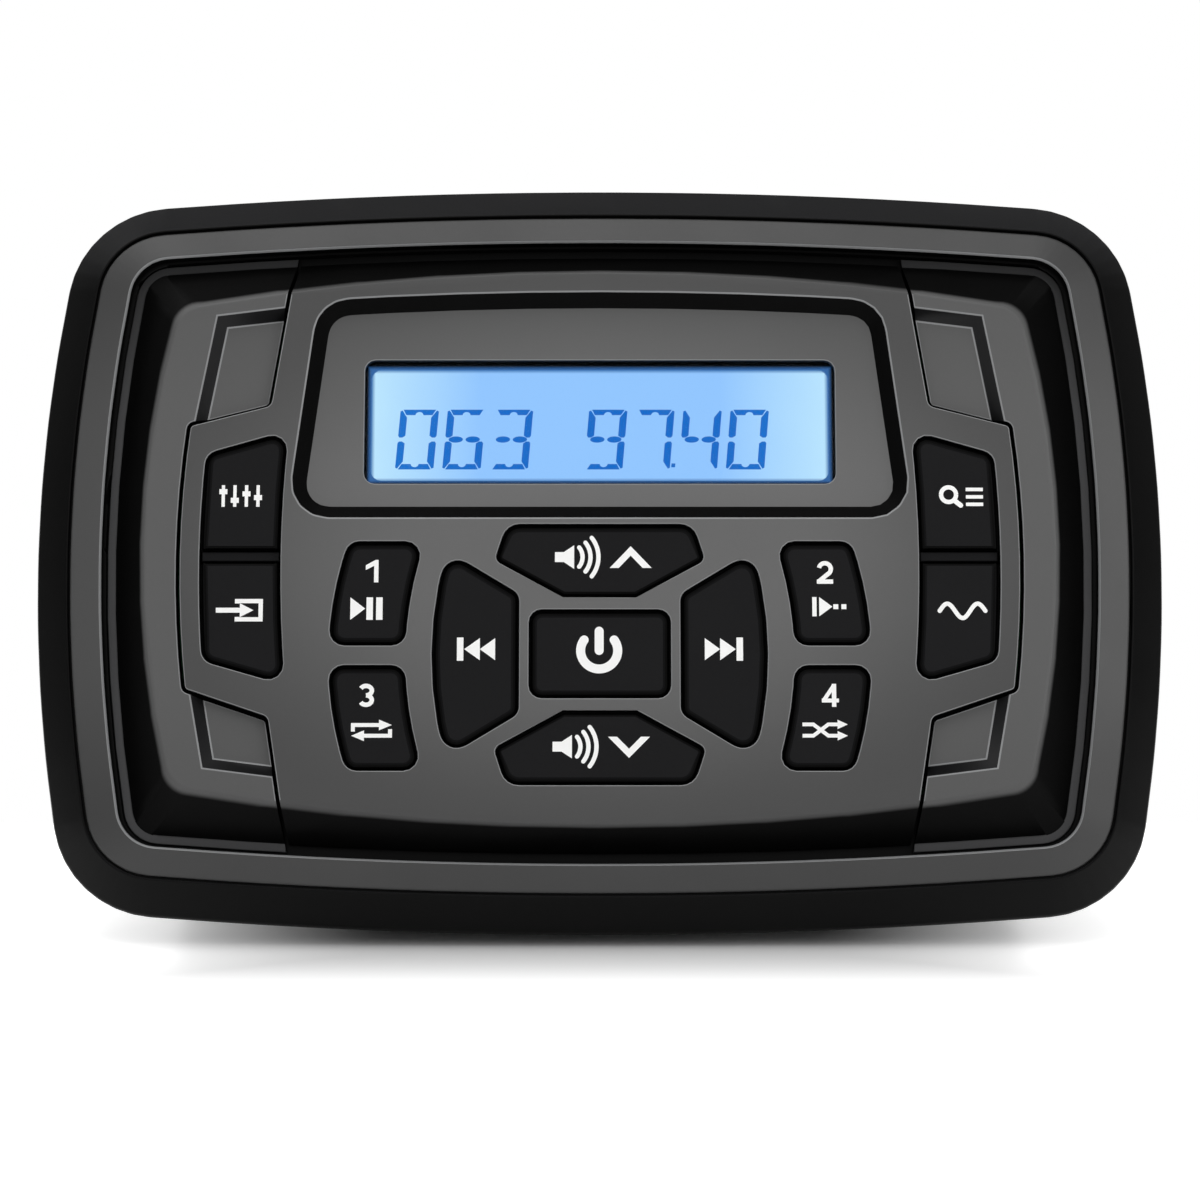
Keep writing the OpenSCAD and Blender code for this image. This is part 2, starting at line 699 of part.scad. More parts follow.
// Closed ring whose cross-section runs through a loop of rings, up its outer side first
module hoop(rings) {
    n = len(rings[0][0]);
    m = len(rings);
    polyhedron(
        points = [for (r = rings) for (p = r[0]) [p[0], p[1], r[1]]],
        faces = [for (r = [0 : m - 1]) each band(n, r, (r + 1) % m)]);
}

// Plate of an outline between two levels
module plate(points, low, high) {
    translate([0, 0, low]) linear_extrude(high - low) polygon(points);
}

// Round bar between two levels
module bar(at, d, low, high) {
    translate([at[0], at[1], low]) cylinder(d = d, h = high - low);
}

// Block by its corners
module block(low, high) {
    translate(low) cube(high - low);
}

// Box with rounded corners between two levels, set in from the wall by inset
module rounded_box(b, inset, low, high) {
    r = max(b[2] - inset, min_r);
    corners = [for (c = [[1, -1], [1, 1], [-1, 1], [-1, -1]])
        [c[0] * (b[0] / 2 - inset), c[1] * (b[1] / 2 - inset), r]];
    plate(rounded(corners), low, high);
}

// Turns the front view so that the front faces -Y
module as_mounted() {
    rotate([90, 0, 0]) children();
}

// A part and its mirror image
module both_sides() {
    children();
    mirror([1, 0, 0]) children();
}

// Screw with a cross recess, its head's underside at z = 0 and its shank running up
module screw(len = shank_l) {
    difference() {
        union() {
            cylinder(d = shank_d, h = len);
            translate([0, 0, -head_h]) cylinder(d = head_d, h = head_h);
        }
        for (a = [0, 90])
            rotate([0, 0, a]) translate([0, 0, -head_h])
                cube([recess_l, recess_w, head_h], center = true);
    }
}

// Black moulding: rim, skirt, ring seat, recess floor and the collar behind the dashboard
module front_frame() {
    color(black) as_mounted() difference() {
        hoop(concat(
            [[bowed(outline), rim_gap]],
            [for (s = skirt_shape)
                [bowed(outline, s[0] * skirt_w), rim_top + s[1] * (skirt_top - rim_top)]],
            [[bowed(outline, skirt_w - skirt_edge), skirt_top],
             [bowed(outline, skirt_w), skirt_top - skirt_edge],
             [bowed(outline, skirt_w), seat_top],
             [bowed(inside, seat_in), seat_top],
             [bowed(inside, seat_in), floor_top],
             [box_ring(chassis_box, collar_in), floor_top],
             [box_ring(chassis_box, collar_in), -collar_d],
             [box_ring(chassis_box, collar_out), -collar_d],
             [box_ring(chassis_box, collar_out), gasket_t],
             [bowed(outline, rim_w), gasket_t],
             [bowed(outline, rim_w), rim_gap]]));
        panel_holes(gasket_t, seat_top);
        for (p = peg_spots) bar(p, peg_d + 2 * peg_gap, seat_top - peg_l - peg_gap, seat_top + past);
        side_screw_holes(post_bore);
    }
}

// Holes for the four panel screws, countersunk at the upper level where sunk is true
module panel_holes(low, high, sunk = true) {
    sink = (screw_head_d - screw_d) / 2;
    for (sx = [-1, 1]) for (sy = [-1, 1])
        translate([sx * screw_pitch_x / 2, sy * screw_pitch_y / 2, 0]) {
            translate([0, 0, low - past]) cylinder(d = screw_d, h = high - low + 2 * past);
            if (sunk)
                translate([0, 0, high - sink])
                    cylinder(d1 = screw_d, d2 = screw_head_d + 2 * past, h = sink + past);
        }
}

// Holes through the chassis and the collar for the side screws
module side_screw_holes(d) {
    for (sx = [-1, 1]) for (sy = [-1, 1])
        translate([sx * (chassis_w / 2 + past), sy * side_screw_y, -side_screw_d])
            rotate([0, -sx * 90, 0]) cylinder(d = d, h = collar_in + 2 * past);
}

// Foam seal between the frame and the dashboard
module panel_gasket() {
    color(rubber) as_mounted() difference() {
        hoop([
            [bowed(outline, rim_w + chassis_gap), 0],
            [bowed(outline, rim_w + chassis_gap), gasket_t],
            [box_ring(chassis_box, -2 * chassis_gap), gasket_t],
            [box_ring(chassis_box, -2 * chassis_gap), 0]
        ]);
        panel_holes(0, gasket_t, sunk = false);
    }
}

// Clip-on ring that hides the panel screws
module trim_ring() {
    color(charcoal) as_mounted() union() {
        hoop([
            [bowed(outline, ring_out), seat_top], [bowed(outline, ring_out), ring_low - ring_edge],
            [bowed(outline, ring_out + ring_edge), ring_low],
            [bowed(inside, ring_in - ring_edge), ring_high],
            [bowed(inside, ring_in), ring_high - ring_edge], [bowed(inside, ring_in), seat_top]
        ]);
        for (p = peg_spots) bar(p, peg_d, seat_top - peg_l, seat_top + past);
    }
}

// Corners of the centre panel: a cross whose arms run past the face above and below
half_cross = concat(
    [[hip_x - line_lean * (far + hip_y), -far, 0], [hip_x, hip_y, line_r], [ear_x, ear_low, line_r]],
    bowed_run([ear_x, ear_low], [ear_x, ear_top], ear_bow, 8),
    [[ear_x, ear_top, line_r], [shoulder_x, shoulder_y, line_r],
     [shoulder_x - line_lean * (far - shoulder_y), far, 0]]);
cross_corners = concat(half_cross, across(half_cross));

// Rounded edge of the raised face, from its slope upwards
function face_rings() = [for (t = face_turn)
    [bowed(face, face_edge * (1 - cos(t))), face_top - face_edge * (1 - sin(t))]];

// Room behind the raised face, up to the given level
module face_room(level) {
    loft([
        [bowed(inside, ledge_in + slope_t), floor_top - past],
        [bowed(inside, ledge_in + slope_t), ledge_top - slope_t / 2],
        [bowed(face, slope_t), level]
    ]);
}

// Centre panel with the key and display openings and the posts for the front board
module face_panel() {
    color(charcoal) as_mounted() union() {
        difference() {
            intersection() {
                loft(concat([[bowed(inside, ledge_in), floor_top], [bowed(inside, ledge_in), ledge_top]],
                    face_rings()));
                plate(rounded(cross_corners, line_gap / 2), 0, face_top + past);
            }
            face_room(panel_back);
            display_cut();
            for (c = [power_corners, vol_corners, upended(vol_corners, cluster_y)])
                key_cut(c);
            both_sides() {
                for (c = [skip_corners, num_corners, upended(num_corners, num_y), slot_corners])
                    key_cut(c);
            }
        }
        for (p = front_posts) post(p, panel_back);
    }
}

// Opening for a key
module key_cut(corners) {
    plate(rounded(corners), panel_back - past, face_top + past);
}

// Post that carries the front board, hanging from the given level
module post(at, level) {
    difference() {
        bar(at, post_d, board_top, level + past);
        bar(at, post_bore, board_top - past, level - blind_t);
    }
}

// Corners of the display well
well_top = face_h / 2 - well_edge;
well_mid = (well_low + well_top) / 2;
well_end = well_top - well_bow;
function well_half(y) = well_x - well_lean * (y - well_mid);
well_corners = concat(
    [[well_half(well_low), well_low, well_r], [well_half(well_end), well_end, well_r]],
    bowed_run([well_half(well_end), well_end], [-well_half(well_end), well_end], well_bow, 8),
    [[-well_half(well_end), well_end, well_r], [-well_half(well_low), well_low, well_r]]);

// Sloping opening of the display well
module display_cut() {
    slope = well_wall / face_t;
    loft([
        [rounded(well_corners, well_wall + slope * past), panel_back - past],
        [rounded(well_corners, -slope * past), face_top + past]
    ]);
}

// Side cheek with its two corner pockets, drawn on the left
module cheek() {
    difference() {
        intersection() {
            loft(concat([[bowed(inside, ledge_out), floor_top], [bowed(inside, ledge_out), ledge_top],
                [bowed(inside, ledge_in), ledge_top]], face_rings()));
            block([-far, -far, 0], [0, far, face_top + past]);
        }
        plate(rounded(cross_corners, -line_gap / 2), 0, face_top + 2 * past);
        face_room(cheek_back);
        pocket(pocket_top_x, pocket_top_y, 1);
        pocket(pocket_low_x, pocket_low_y, -1);
    }
    for (p = cheek_posts) post([-p[0], p[1]], cheek_back);
}

// Corner pocket that opens towards the centre panel; up is 1 above the ear and -1 below it
module pocket(x, y, up) {
    drop = pocket_run * up;
    corners = [
        [-x - pocket_lean * pocket_run, y - drop, 0], [-x + pocket_run, y - drop, 0],
        [-x + pocket_run, y + pocket_fall * drop, 0], [-x, y, 0]
    ];
    ring = up > 0 ? corners : [for (i = [3 : -1 : 0]) corners[i]];
    slope = pocket_wall / pocket_d;
    loft([
        [rounded(ring, pocket_wall), face_top - pocket_d],
        [rounded(ring, -slope * past), face_top + past]
    ]);
}

module left_cheek() {
    color(charcoal) as_mounted() cheek();
}

module right_cheek() {
    color(charcoal) as_mounted() mirror([1, 0, 0]) cheek();
}

// Rectangle round the window, grown by lap
function window_corners(lap, r) = [for (c = [[1, -1], [1, 1], [-1, 1], [-1, -1]])
    [c[0] * (window_w / 2 + lap), window_y + c[1] * (window_h / 2 + lap), r]];

// Plate at the bottom of the display well
module display_plate() {
    color(charcoal) as_mounted() difference() {
        plate(rounded(well_corners, well_wall - plate_lap), plate_back, panel_back);
        plate(rounded(window_corners(0, window_r)), plate_back - past, panel_back + past);
    }
}

// Clear cover behind the plate
module display_lens() {
    color(glass, 0.4) as_mounted()
        plate(rounded(window_corners(lens_lap, window_r)), lens_back, plate_back);
}

// Liquid crystal display
module display_glass() {
    color(glass) as_mounted() plate(rounded(window_corners(lcd_lap, min_r)), lcd_back, lcd_top);
}

// Backlight behind the display
module light_guide() {
    color("white") as_mounted() plate(rounded(window_corners(lcd_lap, min_r)), board_top, lcd_back);
}

// Frame that holds the display and its backlight on the front board
module display_holder() {
    color(black) as_mounted() difference() {
        plate(rounded(window_corners(lcd_lap + holder_gap + holder_t, 1)), board_top, holder_top);
        plate(rounded(window_corners(lcd_lap + holder_gap, min_r)), board_top - past, lcd_top);
        plate(rounded(window_corners(-lip_show, window_r)), lcd_top - past, holder_top + past);
    }
}

// Rubber key: cap with rounded edges, flange behind the panel and plunger over its contact
module key(corners, spot) {
    color(rubber) as_mounted() union() {
        key_cap(corners);
        bar(spot, plunger_d, plunger_end, flange_top);
    }
}

// Cap and flange of a key
module key_cap(corners) {
    loft(concat([[rounded(corners, key_gap), (flange_top + flange_back) / 2]],
        [for (t = key_turn)
            [rounded(corners, key_gap + key_edge * (1 - cos(t))), key_top - key_edge * (1 - sin(t))]]));
    plate(rounded(corners, -key_lap), flange_back, flange_top);
}

// Half of the side slot above (up = 1) or below (up = -1) the bar, as a key of its own
module side_key(up, spot) {
    edge = bar_y + up * (bar_h / 2 + key_gap);
    color(rubber) as_mounted() union() {
        intersection() {
            union() key_cap(slot_corners);
            if (up > 0)
                block([0, edge, 0], [far, far, far]);
            else
                block([0, -far, 0], [far, edge, far]);
        }
        bar(spot, plunger_d, plunger_end, flange_top);
    }
}

module power_key() {
    key(power_corners, key_spots[0]);
}

module volume_up_key() {
    key(vol_corners, key_spots[1]);
}

module volume_down_key() {
    key(upended(vol_corners, cluster_y), key_spots[2]);
}

module next_key() {
    key(skip_corners, [skip_spot, cluster_y]);
}

module previous_key() {
    key(across(skip_corners), [-skip_spot, cluster_y]);
}

module key_1() {
    key(across(num_corners), [-num_x, num_spot]);
}

module key_2() {
    key(num_corners, [num_x, num_spot]);
}

module key_3() {
    key(upended(across(num_corners), num_y), [-num_x, 2 * num_y - num_spot]);
}

module key_4() {
    key(upended(num_corners, num_y), [num_x, 2 * num_y - num_spot]);
}

module upper_right_key() {
    side_key(1, [side_spot_x, side_spot_top]);
}

module lower_right_key() {
    side_key(-1, [side_spot_x, side_spot_low]);
}

module upper_left_key() {
    mirror([1, 0, 0]) upper_right_key();
}

module lower_left_key() {
    mirror([1, 0, 0]) lower_right_key();
}

// Round bar along y from one height to another
module upright(x, z, d, low, high) {
    translate([x, low, z]) rotate([-90, 0, 0]) cylinder(d = d, h = high - low);
}

// Outline of the keypad mat: a band under the display with an ear up each side
board_x = chassis_w / 2 - collar_in - board_gap;
board_y = chassis_h / 2 - collar_in - board_gap;
mat_x = board_x - mat_in;
mat_mid = window_y - window_h / 2 - lcd_lap - holder_gap - holder_t - mat_in;
half_mat = [[mat_x, -board_y + mat_in / 2, 1], [mat_x, side_near_top + mat_in, 1],
    [side_near_x - 2 * mat_in, side_near_top + mat_in, 1], [side_near_x - 2 * mat_in, mat_mid, 1]];
mat_corners = concat(half_mat, across(half_mat));

// Silicone mat: a sheet with a dome under every key and the bars between the side keys
module keypad_mat() {
    dome_r = plunger_d / 2 + dome_gap;
    color(rubber) as_mounted() union() {
        difference() {
            plate(rounded(mat_corners), board_top, mat_top);
            for (p = key_spots) bar(p, 2 * (dome_r + dome_t), board_top - past, mat_top + past);
            for (p = board_posts) bar(p, post_d + 2 * hole_gap, board_top - past, mat_top + past);
        }
        for (p = key_spots)
            translate([p[0], p[1], board_top])
                rotate_extrude() polygon([
                    [dome_r + dome_t, 0], [dome_r + 2 * dome_t, 0], [dome_r + 2 * dome_t, mat_t],
                    [dome_r + dome_t, mat_t + dome_h], [dome_r, mat_t + dome_h], [dome_r + dome_t, mat_t]
                ]);
        both_sides() intersection() {
            plate(rounded(slot_corners, key_gap), mat_top - mat_t / 2, face_top - bar_sink);
            block([0, bar_y - bar_h / 2, 0], [far, bar_y + bar_h / 2, far]);
        }
    }
}

// Contact on the front board under every key
module key_contacts() {
    color(metal) as_mounted() for (p = key_spots) {
        bar(p, plunger_d + dome_gap, board_top, board_top + contact_h / 2);
        bar(p, plunger_d - dome_gap, board_top, contact_top);
    }
}

// Front circuit board with the display and the key contacts
module front_board() {
    color(board_green) as_mounted() difference() {
        rounded_box(chassis_box, collar_in + board_gap, board_back, board_top);
        for (p = board_posts) bar(p, clear_d, board_back - past, board_top + past);
    }
}

module front_board_screws() {
    color(metal) as_mounted() for (p = board_posts)
        translate([p[0], p[1], board_back]) screw();
}

// Header that joins the main board to the front board
module board_connector() {
    color("#e8e4d8") as_mounted() difference() {
        block([-header_w / 2, main_y, -main_front - header_lap],
            [header_w / 2, main_y + header_h, board_back]);
        block([header_t - header_w / 2, main_y + header_t, -main_front],
            [header_w / 2 - header_t, main_y + header_h - header_t, board_back + past]);
    }
}

// Depths of the standoffs' rows, and their places
standoff_rows = [-main_front - standoff_in, -main_rear + standoff_in];
standoffs = [for (s = [-1, 1]) for (z = standoff_rows) [s * standoff_x, z]];
pillars = [for (sx = [-1, 1]) for (sy = [-1, 1]) [sx * pillar_x, sy * pillar_y]];
chassis_low = -chassis_h / 2 + chassis_t;

// Sleeve behind the dashboard, with pillars for the rear cover and standoffs for the main board
module chassis() {
    color(black) as_mounted() difference() {
        union() {
            difference() {
                rounded_box(chassis_box, 0, -chassis_d, gasket_t);
                rounded_box(chassis_box, chassis_t, -chassis_d - past, gasket_t + past);
            }
            for (p = pillars) bar(p, pillar_d, -chassis_d, -chassis_d + pillar_l);
            for (p = standoffs) upright(p[0], p[1], standoff_d, chassis_low - chassis_t / 2, main_low);
        }
        for (p = pillars) bar(p, post_bore, -chassis_d - past, -chassis_d + pillar_l - blind_t);
        for (p = standoffs) upright(p[0], p[1], post_bore, main_low - shank_l, main_low + past);
        side_screw_holes(clear_d);
    }
}

module chassis_screws() {
    color(metal) as_mounted() for (sx = [-1, 1]) for (sy = [-1, 1])
        translate([sx * chassis_w / 2, sy * side_screw_y, -side_screw_d])
            rotate([0, -sx * 90, 0]) screw();
}

// Places of the aerial socket and the two glands, with the holes that they need
sockets = [[aerial_x, aerial_d],
    [supply_x, supply_bore + 2 * gland_t], [audio_x, audio_bore + 2 * gland_t]];

// Rear cover with a locating rib, the window for the heat sink's pad and the socket holes
module rear_cover() {
    color(black) as_mounted() difference() {
        union() {
            rounded_box(chassis_box, 0, cover_back, -chassis_d);
            difference() {
                rounded_box(chassis_box, collar_out, -chassis_d - past, -chassis_d + rib_d);
                rounded_box(chassis_box, collar_out + rib_t, -chassis_d, -chassis_d + rib_d + past);
                for (p = pillars) bar(p, pillar_d + 2 * hole_gap, -chassis_d, -chassis_d + rib_d + past);
                for (s = sockets)
                    bar([s[0], socket_y], s[1] + 2 * gland_lip, -chassis_d, -chassis_d + rib_d + past);
            }
        }
        for (p = pillars) bar(p, clear_d, cover_back - past, -chassis_d + past);
        for (p = sink_screws) bar(p, post_bore, cover_back - past, -chassis_d + past);
        for (s = sockets) bar([s[0], socket_y], s[1] + chassis_gap, cover_back - past, -chassis_d + past);
        block([-pad_w / 2 - hole_gap, pad_y - pad_h / 2 - hole_gap, cover_back - past],
            [pad_w / 2 + hole_gap, pad_y + pad_h / 2 + hole_gap, -chassis_d + past]);
    }
}

module rear_screws() {
    color(metal) as_mounted() for (p = pillars)
        translate([p[0], p[1], cover_back]) screw();
}

// Pitch of the fins, and the screws that sit between the outer fins
fin_pitch = (sink_w - fin_t) / (fin_count - 1);
sink_screws = [for (sx = [-1, 1]) for (sy = [-1, 1])
    [sx * (sink_w - fin_t - fin_pitch) / 2, sink_y + sy * (sink_h / 2 - head_d)]];
clamp_x = amp_w / 2 + head_d;

// Finned heat sink whose pad passes through the rear cover to the amplifier chip
module heat_sink() {
    color(dark_metal) as_mounted() difference() {
        union() {
            block([-sink_w / 2, sink_y - sink_h / 2, sink_back],
                [sink_w / 2, sink_y + sink_h / 2, cover_back]);
            block([-pad_w / 2, pad_y - pad_h / 2, sink_back], [pad_w / 2, pad_y + pad_h / 2, pad_front]);
            for (i = [0 : fin_count - 1])
                translate([-sink_w / 2 + i * fin_pitch, sink_y - sink_h / 2, sink_back - fin_h])
                    cube([fin_t, sink_h, fin_h + sink_t / 2]);
        }
        for (p = sink_screws) bar(p, clear_d, sink_back - past, cover_back + past);
        for (s = [-1, 1]) bar([s * clamp_x, pad_y], post_bore, pad_front - shank_l, pad_front + past);
    }
}

module heat_sink_screws() {
    color(metal) as_mounted() for (p = sink_screws)
        translate([p[0], p[1], sink_back]) screw();
}

// Main circuit board, level behind the front board
module main_board() {
    color(board_green) as_mounted() difference() {
        block([-main_w / 2, main_low, -main_rear], [main_w / 2, main_y, -main_front]);
        for (p = standoffs) upright(p[0], p[1], clear_d, main_low - past, main_y + past);
    }
}

module main_board_screws() {
    color(metal) as_mounted() for (p = standoffs)
        translate([p[0], main_y, p[1]]) rotate([90, 0, 0]) screw();
}

amp_front = pad_front + amp_t;

// Power amplifier against the heat sink's pad, its leads standing on the main board
module amplifier_chip() {
    lead_pitch = (amp_w - 2 * lead_w) / lead_count;
    color("#1c1c1e") as_mounted() union() {
        block([-amp_w / 2, pad_y - amp_h / 2, pad_front], [amp_w / 2, pad_y + amp_h / 2, amp_front]);
        for (i = [0 : lead_count - 1])
            translate([(i - (lead_count - 1) / 2) * lead_pitch, main_y, amp_front - 2 * lead_w])
                translate([-lead_w / 2, 0, 0]) cube([lead_w, lead_l + lead_w, lead_w]);
    }
}

// Bar that presses the chip against the pad
module amplifier_clamp() {
    color(metal) as_mounted() difference() {
        block([-clamp_x - head_d / 2, pad_y - clamp_h / 2, amp_front],
            [clamp_x + head_d / 2, pad_y + clamp_h / 2, amp_front + clamp_t]);
        for (s = [-1, 1]) bar([s * clamp_x, pad_y], clear_d, amp_front - past, amp_front + clamp_t + past);
    }
}

module clamp_screws() {
    color(metal) as_mounted() for (s = [-1, 1])
        translate([s * clamp_x, pad_y, amp_front + clamp_t]) mirror([0, 0, 1])
            screw(clamp_t + amp_t + shank_l - blind_t);
}

// Smoothing capacitors on the main board, each with a crimped foot
module capacitors() {
    color("#2b3f6b") as_mounted() for (i = [0 : cap_count - 1])
        translate([cap_x + i * (cap_d + cap_gap), main_y, -cap_z]) rotate([-90, 0, 0])
            rotate_extrude() polygon([
                [0, 0], [cap_d / 2, 0], [cap_d / 2, cap_crimp - cap_edge],
                [cap_d / 2 - cap_edge, cap_crimp], [cap_d / 2, cap_crimp + cap_edge],
                [cap_d / 2, cap_h - cap_edge], [cap_d / 2 - cap_edge, cap_h], [0, cap_h]
            ]);
}

// Supply choke: a wound ring on a small base
module choke() {
    color("#8a5a2b") as_mounted() translate([choke_x, main_y, -choke_z]) rotate([-90, 0, 0]) {
        cylinder(r = choke_r, h = choke_base);
        translate([0, 0, choke_wire_r + choke_base / 2]) rotate_extrude()
            translate([choke_r, 0]) circle(r = choke_wire_r);
    }
}

// Screened tuner with a lid that overlaps its box
module tuner_module() {
    color(metal) as_mounted() {
        block([tuner_x, main_y, -tuner_z - tuner_d], [tuner_x + tuner_w, main_y + tuner_h, -tuner_z]);
        block([tuner_x - tuner_lid, main_y + tuner_h / 2, -tuner_z - tuner_d - tuner_lid],
            [tuner_x + tuner_w + tuner_lid, main_y + tuner_h + tuner_lid, -tuner_z + tuner_lid]);
    }
}

// Aerial socket through the rear cover, open to the rear
module aerial_socket() {
    tail = cover_back - aerial_l;
    color(metal) as_mounted() translate([aerial_x, socket_y, 0]) difference() {
        union() {
            translate([0, 0, tail]) cylinder(d = aerial_d, h = aerial_l + cover_t + rib_d);
            translate([0, 0, cover_back - gland_lip]) cylinder(d = aerial_d + 2 * gland_lip, h = gland_lip);
        }
        translate([0, 0, tail - past]) cylinder(d = aerial_bore, h = aerial_l + cover_t + past);
    }
}

// Rubber gland for a lead: a lip on each side of the cover and a tapered tail
module gland(x, bore) {
    body = bore + 2 * gland_t;
    color(rubber) as_mounted() translate([x, socket_y, 0]) difference() {
        union() {
            translate([0, 0, cover_back - gland_l]) cylinder(d1 = body - gland_t, d2 = body, h = gland_l);
            translate([0, 0, cover_back - gland_lip]) cylinder(d = body + 2 * gland_lip, h = gland_lip);
            translate([0, 0, cover_back - past]) cylinder(d = body, h = cover_t + past);
            translate([0, 0, -chassis_d]) cylinder(d1 = body + gland_lip / 2, d2 = body, h = gland_lip);
        }
        translate([0, 0, cover_back - gland_l - past])
            cylinder(d = bore, h = gland_l + cover_t + gland_lip + 2 * past);
    }
}

module supply_gland() {
    gland(supply_x, supply_bore);
}

module audio_gland() {
    gland(audio_x, audio_bore);
}

front_frame();
panel_gasket();
trim_ring();
face_panel();
left_cheek();
right_cheek();
display_plate();
display_lens();
display_glass();
display_holder();
light_guide();
power_key();
volume_up_key();
volume_down_key();
previous_key();
next_key();
key_1();
key_2();
key_3();
key_4();
upper_left_key();
lower_left_key();
upper_right_key();
lower_right_key();
keypad_mat();
key_contacts();
front_board();
front_board_screws();
board_connector();
chassis();
chassis_screws();
rear_cover();
rear_screws();
heat_sink();
heat_sink_screws();
main_board();
main_board_screws();
amplifier_chip();
amplifier_clamp();
clamp_screws();
capacitors();
choke();
tuner_module();
aerial_socket();
supply_gland();
audio_gland();
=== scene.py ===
"""Looks of a panel-mounted marine stereo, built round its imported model.

Objects are in metres. The front faces -Y, +Z is up and the dashboard plane is Y = 0. Sizes in the
classes are in millimetres, and a level is a distance from the dashboard towards the viewer.
"""

import json
import logging
import math
from collections.abc import Callable, Sequence
from dataclasses import dataclass, field, replace
from enum import Enum, auto
from functools import partial

import bmesh
import bpy
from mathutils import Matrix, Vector

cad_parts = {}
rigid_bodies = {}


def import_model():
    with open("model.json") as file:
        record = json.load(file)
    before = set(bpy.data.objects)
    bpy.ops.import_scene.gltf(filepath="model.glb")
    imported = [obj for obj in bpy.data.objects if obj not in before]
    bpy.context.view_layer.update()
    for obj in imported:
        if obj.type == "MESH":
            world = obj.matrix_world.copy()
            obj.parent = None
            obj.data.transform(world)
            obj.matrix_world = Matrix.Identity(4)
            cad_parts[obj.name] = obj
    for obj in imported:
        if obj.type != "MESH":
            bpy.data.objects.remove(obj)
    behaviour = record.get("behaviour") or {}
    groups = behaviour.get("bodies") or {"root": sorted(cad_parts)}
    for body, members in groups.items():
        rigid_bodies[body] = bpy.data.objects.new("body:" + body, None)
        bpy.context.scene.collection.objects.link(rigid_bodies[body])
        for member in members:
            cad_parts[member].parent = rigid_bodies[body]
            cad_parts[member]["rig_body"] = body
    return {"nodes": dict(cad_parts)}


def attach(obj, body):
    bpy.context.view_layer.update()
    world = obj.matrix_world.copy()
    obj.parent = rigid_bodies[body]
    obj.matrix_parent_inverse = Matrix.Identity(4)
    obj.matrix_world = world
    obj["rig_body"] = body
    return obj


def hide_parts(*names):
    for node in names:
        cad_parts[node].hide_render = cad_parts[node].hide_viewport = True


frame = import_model()

MM = 0.001
WHITE = (1.0, 1.0, 1.0, 1.0)
# Distances in millimetres: points that weld, points on one level, and the least step between levels.
WELD, ON_LEVEL, STEP = 0.002, 0.01, 0.05
# Angle in degrees under which neighbours are one flat face.
FLAT_ANGLE = 0.6
LOG = logging.getLogger("marine_stereo")
Point = tuple[float, float]
Place = tuple[float, float, float]
Colour = tuple[float, float, float, float]
Loop = list[Point]
Object = bpy.types.Object
Socket = bpy.types.NodeSocket
Adder = Callable[..., bpy.types.NodeOutputs]
# Setting of a map range node whose value changes softly.
SOFT = {"interpolation_type": "SMOOTHSTEP"}


def linear(hex_colour: str) -> Colour:
    """Turn an sRGB hex colour into linear light.

    Args:
        hex_colour: colour such as "#646566".

    Returns:
        Red, green and blue in linear light, with full alpha.
    """
    parts = [int(hex_colour[i:i + 2], 16) / 255 for i in (1, 3, 5)]
    r, g, b = (c / 12.92 if c <= 0.04045 else ((c + 0.055) / 1.055) ** 2.4 for c in parts)
    return (r, g, b, 1.0)


def linked(title: str, data: bpy.types.ID) -> Object:
    """Make an object and put it in the scene.

    Args:
        title: name of the object.
        data: its mesh, lamp or camera.

    Returns:
        The object.
    """
    obj = bpy.data.objects.new(title, data)
    bpy.context.scene.collection.objects.link(obj)
    return obj


def add_node(tree: bpy.types.NodeTree, kind: str, inputs: dict | None = None,
             **settings: object) -> bpy.types.NodeOutputs:
    """Add a shader node, set its properties and feed its inputs.

    Args:
        tree: node tree that takes the node.
        kind: Blender's name for the node's type, after its prefix.
        inputs: input name or number, with the socket to link or the value to set.
        settings: properties of the node itself.

    Returns:
        The new node's outputs.
    """
    node = tree.nodes.new("ShaderNode" + kind)
    for key, value in settings.items():
        setattr(node, key, value)
    for key, value in (inputs or {}).items():
        if isinstance(value, Socket):
            tree.links.new(value, node.inputs[key])
        else:
            node.inputs[key].default_value = value
    return node.outputs


def wired(owner: bpy.types.Material | bpy.types.World, output: str, wire: Callable[[Adder], Socket]) -> None:
    """Give a material or a world its nodes.

    Args:
        owner: what the nodes belong to.
        output: type of its output node.
        wire: method that adds the nodes and gives the shader.
    """
    owner.use_nodes = True
    owner.node_tree.nodes.clear()
    add = partial(add_node, owner.node_tree)
    add(output, {"Surface": wire(add)})


def seen(add: Adder, mirrored: Socket | float) -> Socket:
    """Tell rays to the eye from rays that only light the stereo.

    Args:
        add: adds a node to the backdrop or the floor.
        mirrored: what a ray by way of a mirror or a lens counts for.

    Returns:
        1 for the camera's rays, that value for mirrored ones and 0 for the others.
    """
    path = add("LightPath")
    by_way = add("Math", {0: path["Is Glossy Ray"], 1: path["Is Transmission Ray"]}, operation="MAXIMUM")[0]
    weighed = add("Math", {0: by_way, 1: mirrored}, operation="MULTIPLY")[0]
    return add("Math", {0: path["Is Camera Ray"], 1: weighed}, operation="MAXIMUM")[0]


class Pattern(Enum):
    """How a surface's fine relief was made."""

    SPARK = "grain of a spark-eroded mould"
    DRAWN = "lines drawn along one direction"
    CELLS = "closed cells"
    WOUND = "turns of wire"
    TRACKS = "etched tracks under lacquer"


